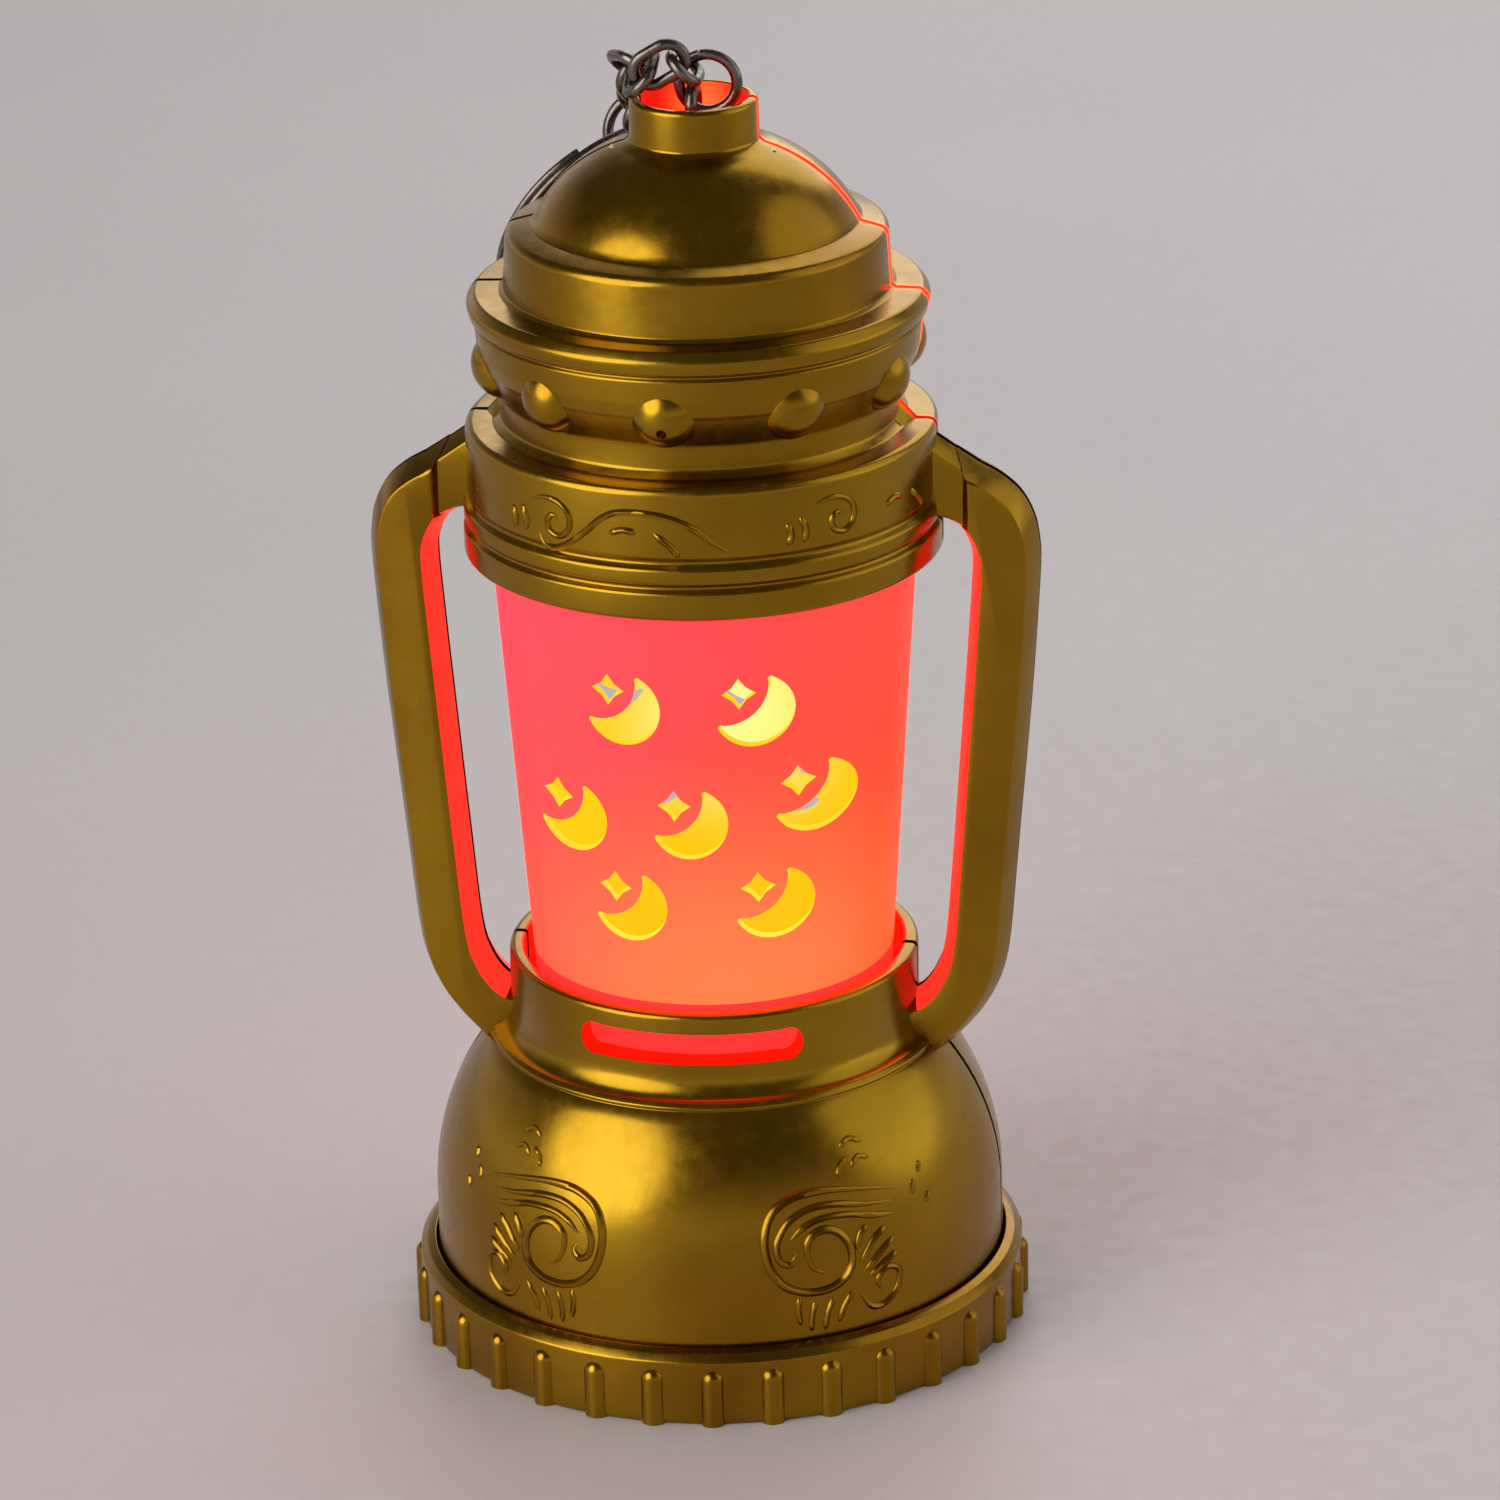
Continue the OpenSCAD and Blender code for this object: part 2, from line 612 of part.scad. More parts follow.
module front_shell() {
    color(gold) {
        difference() {
            intersection() {
                union() {
                    body_walls();
                    base_posts();
                    bridge();
                    front_posts();
                }
                half_space(-1);
            }
            at_roof_screws() translate([0, 0, -roof_screw_l + roof_seat_y - overrun])
                cylinder(h = roof_screw_l + overrun, r = roof_screw_r + contact_gap);
        }
        pins(pin_r, pin_l / 2 + pin_l);
    }
}

module back_shell() {
    color(gold) difference() {
        intersection() {
            union() {
                body_walls();
                base_posts();
                bridge();
                back_posts();
            }
            half_space(1);
        }
        at_roof_screws() {
            translate([0, 0, -overrun])
                cylinder(h = roof_seat_y + 2 * overrun, r = roof_screw_r + slip_gap);
            translate([0, 0, roof_seat_y]) cylinder(h = brim_r, r = roof_head_r + slip_gap);
        }
        translate([0, -fit_gap, 0]) pins(pin_r + fit_gap, pin_l / 2 + pin_l + 2 * fit_gap + slip_gap);
    }
}

// One crescent and its star, drawn flat around the moon's centre
module motif() {
    difference() {
        circle(r = moon_r);
        translate([-moon_r, moon_r] * bite_shift_share) circle(r = moon_bite_r);
    }
    translate([for (s = star_shift_shares) moon_r * s]) polygon([for (i = [0:7])
        star_r * (i % 2 == 0 ? 1 : star_waist_share) * [cos(45 * i), sin(45 * i)]]);
}

function diffuser_r(z) = diffuser_foot_r
    + (diffuser_top_r - diffuser_foot_r) * (z - diffuser_z) / (diffuser_top_z - diffuser_z);

module diffuser() {
    color(milk) difference() {
        rotate_extrude() polygon([
            [diffuser_foot_r - diffuser_wall, diffuser_z], [diffuser_foot_r, diffuser_z],
            [diffuser_top_r, diffuser_top_z], [diffuser_top_r - diffuser_wall, diffuser_top_z]]);
        for (face = [0, 180], place = motif_places_share) rotate([0, 0, face])
            translate([motif_pitch * place[0], -diffuser_foot_r * motif_start_share,
                       neck_top_z + window_h * place[1]])
                rotate([90, 0, 0]) linear_extrude(height = diffuser_top_r) motif();
    }
}

// Ribbed cap that closes the bulb from below and holds the battery bay
module base_cap() {
    edge = cap_wall / 4;
    color(cap_gold) {
        difference() {
            union() {
                rotate_extrude() polygon([
                    [cap_in_r, 0], [cap_r - edge, 0], [cap_r, edge], [cap_r, cap_h - 2.6 * edge],
                    [cap_r - edge, cap_h - 1.6 * edge], [cap_r - 2.4 * edge, cap_h - edge],
                    [cap_in_r + edge / 2, cap_h - edge / 4], [cap_in_r, cap_h - edge / 2]]);
                translate([0, 0, foot_gap]) cylinder(h = cap_floor, r = cap_in_r + edge);
                for (i = [0:rib_count - 1]) rotate([0, 0, (i + 0.5) * 360 / rib_count])
                    translate([cap_r + rib_proud - rib_w / 2, 0, 0]) {
                        cylinder(h = rib_top - rib_w / 2, d = rib_w, $fn = 24);
                        translate([0, 0, rib_top - rib_w / 2]) sphere(d = rib_w, $fn = 24);
                    }
                at_holder_screws() translate([0, 0, foot_gap])
                    cylinder(h = ear_z - foot_gap, r = ear_post_r);
                translate([door_screw_x, cell_y, floor_z - cap_floor / 4])
                    cylinder(h = door_post_h, r = door_post_r);
                for (side = [-1, 1])
                    translate([side * (switch_l / 2 + slip_gap + clamp_t / 2) - clamp_t / 2,
                               switch_y - switch_w / 2, floor_z - cap_floor / 2])
                        cube([clamp_t, switch_w, cap_floor / 2 + switch_h * 0.8]);
            }
            cap_openings();
        }
    }
}
module door_plan(grow) {
    offset_r = door_corner_r + grow;
    half_l = door_l / 2 + grow - offset_r;
    half_w = door_w / 2 + grow - offset_r;
    translate([door_x, cell_y]) {
        for (x = [-half_l, half_l], y = [-half_w, half_w]) translate([x, y]) circle(r = offset_r);
        square([2 * half_l, 2 * (half_w + offset_r)], center = true);
        square([2 * (half_l + offset_r), 2 * half_w], center = true);
    }
}
module cap_openings() {
    translate([0, 0, foot_gap - overrun])
        linear_extrude(height = door_t + fit_gap + overrun) door_plan(slip_gap);
    translate([cell_x, cell_y, 0]) cylinder(h = floor_z + overrun, r = hole_r);
    translate([door_screw_x, cell_y, foot_gap])
        cylinder(h = door_head_h + door_screw_l + overrun, r = door_screw_r + contact_gap);
    at_holder_screws() translate([0, 0, ear_z - holder_screw_l + ear_t])
        cylinder(h = holder_screw_l + overrun, r = holder_screw_r + contact_gap);
    at_base_screws() {
        cylinder(h = floor_z + overrun, r = base_screw_r + slip_gap);
        cylinder(h = foot_gap + base_head_h + fit_gap, r = base_head_r + slip_gap);
    }
    translate([-knob_slot_l / 2, switch_y - knob_slot_w / 2, 0])
        cube([knob_slot_l, knob_slot_w, floor_z + overrun]);
}

module battery_door() {
    color(cap_gold) difference() {
        union() {
            translate([0, 0, foot_gap]) linear_extrude(height = door_t) door_plan(0);
            translate([cell_x, cell_y, foot_gap]) cylinder(h = cap_floor, r = door_spigot_r);
        }
        translate([door_screw_x, cell_y, 0]) {
            cylinder(h = floor_z, r = door_screw_r + contact_gap);
            cylinder(h = foot_gap + door_head_h + fit_gap, r = door_head_r + fit_gap);
        }
        for (side = [-1, 1]) translate([cell_x + side * thumb_r * 1.4, cell_y, foot_gap - thumb_r * 0.7])
            sphere(r = thumb_r);
    }
}
module door_contact() {
    color(steel) translate([cell_x, cell_y, floor_z]) cylinder(h = contact_t, r = holder_in_r - slip_gap);
}
module door_screw() {
    color(steel) translate([door_screw_x, cell_y, foot_gap + contact_gap])
        screw(door_head_r, door_head_h, door_screw_r, door_screw_l);
}

module battery_holder() {
    color(black_plastic) difference() {
        union() {
            translate([cell_x, cell_y, seat_z]) cylinder(h = holder_top_z - seat_z, r = holder_r);
            translate([cell_x - ear_w / 2, cell_y - ear_l / 2, ear_z + contact_gap])
                cube([ear_w, ear_l, ear_t]);
        }
        translate([cell_x, cell_y, seat_z - overrun])
            cylinder(h = holder_roof_z - seat_z + overrun, r = holder_in_r);
        translate([strip_x - overrun, cell_y - strip_w / 2 - slip_gap, seat_z - overrun])
            cube([overrun + contact_t + 2 * contact_gap, strip_w + 2 * slip_gap, holder_top_z]);
        translate([cell_x, cell_y, seat_z]) cylinder(h = holder_top_z, r = 2 * lead_r);
        at_holder_screws() translate([0, 0, ear_z]) cylinder(h = 2 * ear_t, r = holder_screw_r + slip_gap);
    }
}

module button_cell(index) {
    rim = cell_h * 0.12;
    color(steel) translate([cell_x, cell_y, cells_z + index * cell_h]) {
        cylinder(h = cell_h - rim - contact_gap, d = cell_d);
        cylinder(h = cell_h - contact_gap, d = cell_d * 0.78);
    }
}
module button_cell_1() { button_cell(0); }
module button_cell_2() { button_cell(1); }
module button_cell_3() { button_cell(2); }

module contact_spring() {
    color(steel) translate([cell_x, cell_y, cells_top_z + contact_gap])
        tube(spring_line(), spring_wire_r, 6);
}
module top_contact() {
    color(steel) translate([cell_x, cell_y, top_contact_z])
        cylinder(h = contact_t, r = spring_big_r + spring_wire_r);
}
module side_contact() {
    color(steel) translate([strip_x, cell_y - strip_w / 2, floor_z + contact_t + contact_gap])
        cube([contact_t, strip_w, strip_top_z - floor_z - contact_t - contact_gap]);
}

module led_board() {
    color("darkgreen") difference() {
        translate([0, 0, board_z]) cylinder(h = board_t, r = board_r);
        for (side = [-1, 1]) translate([side * led_r / 2, 0, board_z - overrun])
            cylinder(h = board_t + 2 * overrun, r = board_t / 2);
    }
}
module led() {
    leg_r = board_t / 4;
    color("white") translate([0, 0, board_z + board_t + contact_gap]) {
        cylinder(h = led_flange_h, r = led_flange_r);
        cylinder(h = led_h - led_r, r = led_r);
        translate([0, 0, led_h - led_r]) sphere(r = led_r);
        for (side = [-1, 1]) translate([side * led_r / 2, 0, -board_t - 2 * leg_r])
            cylinder(h = board_t + 2 * leg_r + led_flange_h / 2, r = leg_r);
    }
}
module resistor() {
    color("saddlebrown") translate([led_flange_r + resistor_w, -resistor_l / 2, board_z + board_t])
        cube([resistor_w, resistor_l, resistor_h]);
}

module switch_body() {
    color(steel) translate([0, switch_y, floor_z + contact_gap]) {
        difference() {
            translate([-switch_l / 2, -switch_w / 2, 0]) cube([switch_l, switch_w, switch_h]);
            translate([-knob_slot_l / 2, -knob_slot_w / 2, -overrun])
                cube([knob_slot_l, knob_slot_w, overrun + knob_in_h + slip_gap]);
        }
        for (i = [0:pin_count - 1])
            translate([(i - (pin_count - 1) / 2) * pin_pitch - pin_w / 2, -pin_w / 4, switch_h])
                cube([pin_w, pin_w / 2, pin_h]);
    }
}
module switch_knob() {
    color("black") translate([-switch_travel / 2 - knob_l / 2, switch_y - knob_w / 2, knob_tip_z])
        cube([knob_l, knob_w, floor_z + knob_in_h - knob_tip_z]);
}

module base_screws() {
    color(steel) at_base_screws() translate([0, 0, foot_gap])
        screw(base_head_r, base_head_h, base_screw_r, base_screw_l);
}
module holder_screws() {
    color(steel) at_holder_screws() translate([0, 0, ear_z + ear_t + 2 * contact_gap + holder_head_h])
        mirror([0, 0, 1])
            screw(holder_head_r, holder_head_h, holder_screw_r, holder_screw_l - contact_gap - ear_t / 4);
}
module shell_screws() {
    color(steel) at_roof_screws() translate([0, 0, roof_seat_y + contact_gap + roof_head_h])
        mirror([0, 0, 1]) screw(roof_head_r, roof_head_h, roof_screw_r, roof_screw_l);
}

module wire_positive() {
    color("red") tube(positive_route, lead_r, 8);
}
module wire_negative() {
    color("black") tube(negative_route, lead_r, 8);
}
module wire_switch() {
    color("firebrick") tube(switch_route, lead_r, 8);
}

// Eye pin, held by its foot under the bridge
module eye_pin() {
    foot_z = bridge_z - foot_t - fit_gap;
    color(steel) {
        translate([0, 0, eye_z]) rotate([0, 90, 0]) rotate_extrude() translate([eye_r, 0])
            circle(d = eye_wire_d, $fn = 24);
        translate([0, 0, foot_z]) cylinder(h = eye_z - eye_r - foot_z, r = shank_r);
        translate([0, 0, foot_z]) cylinder(h = foot_t, r = foot_r);
    }
}

// How far a piece's centre is from the wire that it hangs on
function centre_shift(index) = half_sides[index] + ring_radii[index]
    - hold_radii[index - 1] - hold_radii[index] - link_play;

// Frame of one piece of the chain: it lies in the plane of its first two axes
module on_ring(index) {
    before = index - 1;
    if (index == 0) translate([0, 0, eye_z]) rotate(a = 180, v = [1, 0, 1]) children();
    else on_ring(before) translate([half_sides[before], 0, 0]) rotate([0, 0, hook_angles[before]])
        translate([ring_radii[before], 0, 0]) rotate([0, -swing_angles[before], 0])
            translate([centre_shift(index), 0, 0]) rotate([90, 0, 0]) children();
}
module wire_ring(index) {
    wire_r = hold_radii[index];
    color(steel) on_ring(index) rotate_extrude() translate([ring_radii[index], 0])
        circle(r = wire_r, $fn = 24);
}
module chain_link(number) {
    index = number + 1;
    wire_r = link_wire_d / 2;
    half = half_sides[index];
    color(steel) on_ring(index) {
        for (end = [0, 180]) rotate([0, 0, end]) translate([half, 0, 0]) rotate([0, 0, -90])
            rotate_extrude(angle = 180) translate([link_r, 0]) circle(r = wire_r, $fn = 24);
        for (side = [-1, 1]) translate([-half, side * link_r, 0]) rotate([0, 90, 0])
            cylinder(h = 2 * half, r = wire_r, $fn = 24);
    }
}
module jump_ring() { wire_ring(1); }
module chain_link_1() { chain_link(1); }
module chain_link_2() { chain_link(2); }
module chain_link_3() { chain_link(3); }
module chain_link_4() { chain_link(4); }
module chain_link_5() { chain_link(5); }
module chain_link_6() { chain_link(6); }
module chain_link_7() { chain_link(7); }
module chain_link_8() { chain_link(8); }
module end_ring() { wire_ring(link_count + 2); }
module split_ring() {
    half_w = split_ring_w / 2;
    half_t = split_ring_t / 2;
    corner = split_ring_t * 0.2;
    groove = split_ring_t * 0.12;
    color(steel) on_ring(link_count + 3) rotate_extrude() translate([split_ring_r, 0]) polygon([
        [-half_t, -half_w + corner], [-half_t + corner, -half_w],
        [half_t - corner, -half_w], [half_t, -half_w + corner],
        [half_t, -groove], [half_t - groove, 0], [half_t, groove],
        [half_t, half_w - corner], [half_t - corner, half_w],
        [-half_t + corner, half_w], [-half_t, half_w - corner],
        [-half_t, groove], [-half_t + groove, 0], [-half_t, -groove]]);
}

front_shell();
back_shell();
diffuser();
base_cap();
battery_door();
door_contact();
door_screw();
battery_holder();
button_cell_1();
button_cell_2();
button_cell_3();
contact_spring();
top_contact();
side_contact();
led_board();
led();
resistor();
switch_body();
switch_knob();
base_screws();
holder_screws();
shell_screws();
wire_positive();
wire_negative();
wire_switch();
eye_pin();
jump_ring();
chain_link_1();
chain_link_2();
chain_link_3();
chain_link_4();
chain_link_5();
chain_link_6();
chain_link_7();
chain_link_8();
end_ring();
split_ring();
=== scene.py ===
"""Looks of a small plated battery lantern on a key chain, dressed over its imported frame."""
import logging
from contextlib import contextmanager
from dataclasses import dataclass, field
from enum import Enum
from math import acos, atan, cos, degrees, pi, radians, sin, sqrt, tan
from typing import Callable, Iterator, Sequence

import bpy
from mathutils import Matrix, Vector


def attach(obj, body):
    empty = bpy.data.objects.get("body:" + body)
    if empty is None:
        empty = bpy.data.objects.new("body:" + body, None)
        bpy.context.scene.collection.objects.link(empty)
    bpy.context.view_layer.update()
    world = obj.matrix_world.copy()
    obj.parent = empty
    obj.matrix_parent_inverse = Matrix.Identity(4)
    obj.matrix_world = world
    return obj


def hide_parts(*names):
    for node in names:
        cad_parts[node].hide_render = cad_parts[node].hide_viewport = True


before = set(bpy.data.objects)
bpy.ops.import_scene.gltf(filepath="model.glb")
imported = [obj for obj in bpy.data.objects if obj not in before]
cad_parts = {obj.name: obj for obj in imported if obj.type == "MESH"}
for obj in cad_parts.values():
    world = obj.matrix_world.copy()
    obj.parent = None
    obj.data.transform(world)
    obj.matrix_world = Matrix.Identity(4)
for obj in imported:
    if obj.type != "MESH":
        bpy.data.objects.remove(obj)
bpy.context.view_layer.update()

LOG = logging.getLogger("fanous")
MM = 0.001
DOUBLES = MM / 1000
BODY = "lantern"
BASE_SCREW_TURNS = (52, 128, 232, 308)
BASE_SCREW_R = 22.9

Pair = tuple[float, float]
Corner = tuple[float, float, float]
Colour = tuple[float, float, float]
Line = list[Pair]
Path = Sequence[Sequence[float]]
Thing = bpy.types.Object
Material = bpy.types.Material
Node = bpy.types.Node
Tree = bpy.types.NodeTree
Sockets = dict[str | int, object]


class Side(Enum):
    """Front or back half of the lantern."""

    FRONT = -1
    BACK = 1


class Join(Enum):
    """How a tool piece is worked into another one."""

    CUT = "DIFFERENCE"
    ADD = "UNION"


# Shapes of outlines


def arc(centre: Pair, radius: float, start: float, end: float, steps: int) -> Line:
    """Points on an arc from the start angle to the end angle, both in degrees."""
    turns = [radians(start + (end - start) * i / steps) for i in range(steps + 1)]
    return [(centre[0] + radius * cos(t), centre[1] + radius * sin(t)) for t in turns]


def box(left: float, right: float, low: float, high: float) -> Line:
    """Corners of a rectangle."""
    return [(left, low), (right, low), (right, high), (left, high)]


def bow(start: Pair, end: Pair, share: float, steps: int) -> Line:
    """Points on an arc between two points.

    Args:
        start: First point.
        end: Last point.
        share: How far it bows out to the right, as a share of its chord.
        steps: Number of steps.

    Returns:
        The points from start to end.
    """
    first, last = Vector(start), Vector(end)
    chord = last - first
    outward = Vector((chord.y, -chord.x)).normalized()
    half = 2 * atan(2 * share)
    radius = chord.length / 2 / sin(half)
    centre = (first + last) / 2 - outward * radius * cos(half)
    along = chord.normalized()
    turns = [half * (2 * i / steps - 1) for i in range(steps + 1)]
    return [(centre + radius * (outward * cos(t) + along * sin(t)))[:] for t in turns]


def soften(corners: Sequence[Corner], steps: int = 4) -> Line:
    """Rounds the corners of an open line.

    Args:
        corners: Places with the radius that each is rounded by.
        steps: Number of steps in a corner.

    Returns:
        The rounded line.
    """
    line: Line = []
    for i, (x, y, radius) in enumerate(corners):
        if radius == 0 or i in (0, len(corners) - 1):
            line.append((x, y))
            continue
        here = Vector((x, y))
        back, ahead = (Vector(corners[k][:2]) - here for k in (i - 1, i + 1))
        half = back.angle(ahead) / 2
        reach = min(radius / tan(half), 0.49 * back.length, 0.49 * ahead.length)
        true_radius = reach * tan(half)
        middle = here + (back.normalized() + ahead.normalized()).normalized() * true_radius / sin(half)
        first, last = (here + way.normalized() * reach - middle for way in (back, ahead))
        turn = first.angle_signed(last)
        for step in range(steps + 1):
            spoke = first.copy()
            spoke.rotate(Matrix.Rotation(-turn * step / steps, 2))
            line.append((middle.x + spoke.x, middle.y + spoke.y))
    return line


def flow(points: Path, steps: int) -> Line:
    """A smooth line through points.

    Args:
        points: Places that it passes through.
        steps: Number of steps between two of them.

    Returns:
        The line, with both ends.
    """
    padded = [points[0], *points, points[-1]]
    line = []
    for i in range(len(points) - 1):
        ends = list(zip(*padded[i:i + 4]))
        for t in (step / steps for step in range(steps)):
            line.append(tuple(
                0.5 * (2 * q + (r - p) * t + (2 * p - 5 * q + 4 * r - s) * t * t
                       + (3 * q - p - 3 * r + s) * t ** 3)
                for p, q, r, s in ends))
    return line + [tuple(points[-1])]


# Hand work on meshes


def only(*objs: Thing) -> None:
    """Selects these objects and nothing else.

    Args:
        objs: Objects, of which the first one becomes active, or none.
    """
    bpy.ops.object.select_all(action="DESELECT")
    for obj in objs:
        obj.select_set(True)
    bpy.context.view_layer.objects.active = objs[0] if objs else None


def new(name: str, add: Callable[..., object], **settings: object) -> Thing:
    """Adds an object with an operator.

    Args:
        name: Its name.
        add: The operator.
        settings: What the operator is told.

    Returns:
        The object, at the origin if it is a mesh.
    """
    only()
    add(**settings)
    obj = bpy.context.active_object
    obj.name = name
    if obj.type == "MESH":
        bpy.ops.object.transform_apply()
    return obj


@contextmanager
def editing(obj: Thing, mode: str = "VERT", keep: bool = False) -> Iterator[None]:
    """Edit mode on one object.

    Args:
        obj: Mesh to work on.
        mode: What is selected, VERT, EDGE or FACE.
        keep: Keeps the selection as it is, where all is selected otherwise.
    """
    only(obj)
    bpy.ops.object.mode_set(mode="EDIT")
    bpy.ops.mesh.select_mode(type=mode)
    if not keep:
        bpy.ops.mesh.select_all(action="SELECT")
    try:
        yield
    finally:
        bpy.ops.object.mode_set(mode="OBJECT")


def merge(turn_out: bool = True) -> None:
    """Merges doubles in edit mode.

    Args:
        turn_out: Whether the faces are turned outwards as well.
    """
    bpy.ops.mesh.select_all(action="SELECT")
    bpy.ops.mesh.remove_doubles(threshold=DOUBLES)
    if turn_out:
        bpy.ops.mesh.normals_make_consistent(inside=False)


def pick(obj: Thing, wanted: Callable[[bpy.types.MeshPolygon], bool]) -> None:
    """Selects the faces that are wanted, outside edit mode.

    Args:
        obj: Mesh to look through.
        wanted: Test of one face.
    """
    mesh = obj.data
    for part in (mesh.vertices, mesh.edges):
        part.foreach_set("select", [False] * len(part))
    mesh.polygons.foreach_set("select", [wanted(face) for face in mesh.polygons])


def draw(name: str, points: Path, closed: bool = False) -> Thing:
    """Draws a line of vertices, one extruded from the other.

    Args:
        name: Its name.
        points: Places in millimetres.
        closed: Whether its ends are joined.

    Returns:
        The line.
    """
    places = [Vector(point) * MM for point in points]
    stops = places[1:] + (places[:1] if closed else [])
    obj = new(name, bpy.ops.mesh.primitive_circle_add, vertices=3, radius=MM / 100, location=places[0])
    with editing(obj):
        bpy.ops.mesh.merge(type="CENTER")
        for last, place in zip(places, stops):
            bpy.ops.mesh.extrude_vertices_move(TRANSFORM_OT_translate={"value": place - last})
        if closed:
            merge(turn_out=False)
    return obj


def lathe(name: str, outline: Line, steps: int, start: float = 0, sweep: float = 360) -> Thing:
    """Turns a closed outline round the lantern's axis.

    Args:
        name: Its name.
        outline: Radius and height of each point.
        steps: Number of steps in the turn.
        start: Where the turn starts, in degrees.
        sweep: Degrees of the turn.

    Returns:
        The solid.
    """
    turn = radians(start)
    obj = draw(name, [(r * cos(turn), r * sin(turn), z) for r, z in outline], closed=True)
    with editing(obj):
        if abs(sweep) < 360:
            bpy.ops.mesh.edge_face_add()
        bpy.ops.mesh.spin(steps=steps, angle=radians(-sweep), center=(0, 0, 0), axis=(0, 0, 1))
        merge()
    return obj


def prism(name: str, outline: Line, low: float, high: float, edge: float = 0, upright: bool = True) -> Thing:
    """Extrudes a closed outline.

    Args:
        name: Its name.
        outline: As x and z if the outline is upright, or else as x and y.
        low: Start along the third axis.
        high: End along it.
        edge: Width of the rounding along both ends.
        upright: Whether the outline stands upright.

    Returns:
        The solid.
    """
    way = Vector((0, 1, 0)) if upright else Vector((0, 0, 1))
    obj = draw(name, [(x, low, y) if upright else (x, y, low) for x, y in outline], closed=True)
    with editing(obj):
        bpy.ops.mesh.edge_face_add()
        bpy.ops.mesh.extrude_region_move(TRANSFORM_OT_translate={"value": way * (high - low) * MM})
        merge()
    if edge:
        pick(obj, lambda face: abs(face.normal.dot(way)) > 0.9)
        round_rim(obj, edge)
    return obj


def round_rim(obj: Thing, width: float) -> None:
    """Rounds the edge round the picked faces.

    Args:
        obj: Mesh to work on.
        width: Width of the rounding in millimetres.
    """
    with editing(obj, "FACE", keep=True):
        bpy.ops.mesh.region_to_loop()
        bpy.ops.mesh.bevel(offset=width * MM, segments=2, profile=0.5, clamp_overlap=False)


def rod(name: str, radius: float, low: Sequence[float], high: Sequence[float], sides: int = 32) -> Thing:
    """Round bar between two places.

    Args:
        name: Its name.
        radius: Its radius in millimetres.
        low: Middle of one end.
        high: Middle of the other end.
        sides: Number of sides.

    Returns:
        The solid.
    """
    low, high = Vector(low), Vector(high)
    way = high - low
    return new(name, bpy.ops.mesh.primitive_cylinder_add, vertices=sides, radius=radius * MM,
               depth=way.length * MM, location=(low + high) / 2 * MM,
               rotation=way.to_track_quat("Z", "Y").to_euler())


def strand(name: str, points: Path, radii: Sequence[float], sides: int) -> Thing:
    """Round wire or bead along a line.

    Args:
        name: Its name.
        points: Places in millimetres.
        radii: Radius at each place.
        sides: How finely it is rounded.

    Returns:
        The solid.
    """
    only(draw(name, points))
    bpy.ops.object.convert(target="CURVE")
    curve = bpy.context.active_object.data
    curve.dimensions = "3D"
    curve.bevel_depth = MM
    curve.bevel_resolution = sides
    curve.use_fill_caps = True
    for point in curve.splines[0].points:
        place = point.co.xyz / MM
        point.radius = radii[min(range(len(points)), key=lambda i: (Vector(points[i]) - place).length)]
    bpy.ops.object.convert(target="MESH")
    obj = bpy.context.active_object
    with editing(obj):
        merge()
    return obj


def work(obj: Thing, how: Join, *tools: Thing) -> None:
    """Adds tool pieces to an object, or cuts the object with them.

    Args:
        obj: Piece that is kept.
        how: Whether they are added or cut away.
        tools: Closed pieces that are used up, in this order.
    """
    for tool in tools:
        change = obj.modifiers.new(how.name, "BOOLEAN")
        change.operation = how.value
        change.solver = "MANIFOLD"
        change.object = tool
        only(obj)
        bpy.ops.object.modifier_apply(modifier=change.name)
        bpy.data.objects.remove(tool)


def join(*objs: Thing) -> Thing:
    """Joins objects as loose parts.

    Args:
        objs: Objects, of which the first one takes up the others.

    Returns:
        The first one.
    """
    only(*objs)
    bpy.ops.object.join()
    return bpy.context.active_object


def copy(obj: Thing, place: Matrix) -> Thing:
    """Copies an object with its mesh.

    Args:
        obj: Object to copy.
        place: Where the copy's mesh goes.

    Returns:
        The copy, at the origin.
    """
    only(obj)
    bpy.ops.object.duplicate(linked=False)
    twin = bpy.context.active_object
    twin.data.transform(place)
    if place.determinant() < 0:
        with editing(twin):
            bpy.ops.mesh.flip_normals()
    return twin


def ring_of(obj: Thing, turns: Sequence[float]) -> Thing:
    """Puts a ring of copies in an object's place.

    Args:
        obj: Object that is used up.
        turns: Where the copies go round the axis, in degrees.

    Returns:
        The joined copies.
    """
    ring = [copy(obj, about_z(turn)) for turn in turns]
    bpy.data.objects.remove(obj)
    return join(*ring)


def shade(obj: Thing, angle: float = 32) -> None:
    """Shades an object smooth, but for edges sharper than the angle in degrees."""
    only(obj)
    bpy.ops.object.shade_smooth_by_angle(angle=radians(angle))


def coat(obj: Thing, *materials: Material) -> None:
    """Gives an object new materials.

    Args:
        obj: Object to coat.
        materials: Its materials, in place of any that it has.
    """
    obj.data.materials.clear()
    for material in materials:
        obj.data.materials.append(material)


def about_z(turn: float) -> Matrix:
    """Turn round the lantern's axis, in degrees."""
    return Matrix.Rotation(radians(turn), 4, "Z")


def dress(piece: Thing, body: str, slot: str, *nodes: str) -> None:
    """Hands a finished piece to the frame.

    Args:
        piece: Finished piece.
        body: Body that it moves with.
        slot: Not used.
        nodes: CAD nodes that it stands for, if any.
    """
    if nodes:
        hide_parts(*nodes)
    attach(piece, body)
    triangles = sum(len(face.vertices) - 2 for face in piece.data.polygons)
    LOG.info("%s: %d triangles on %s", piece.name, triangles, body)


# Finishes


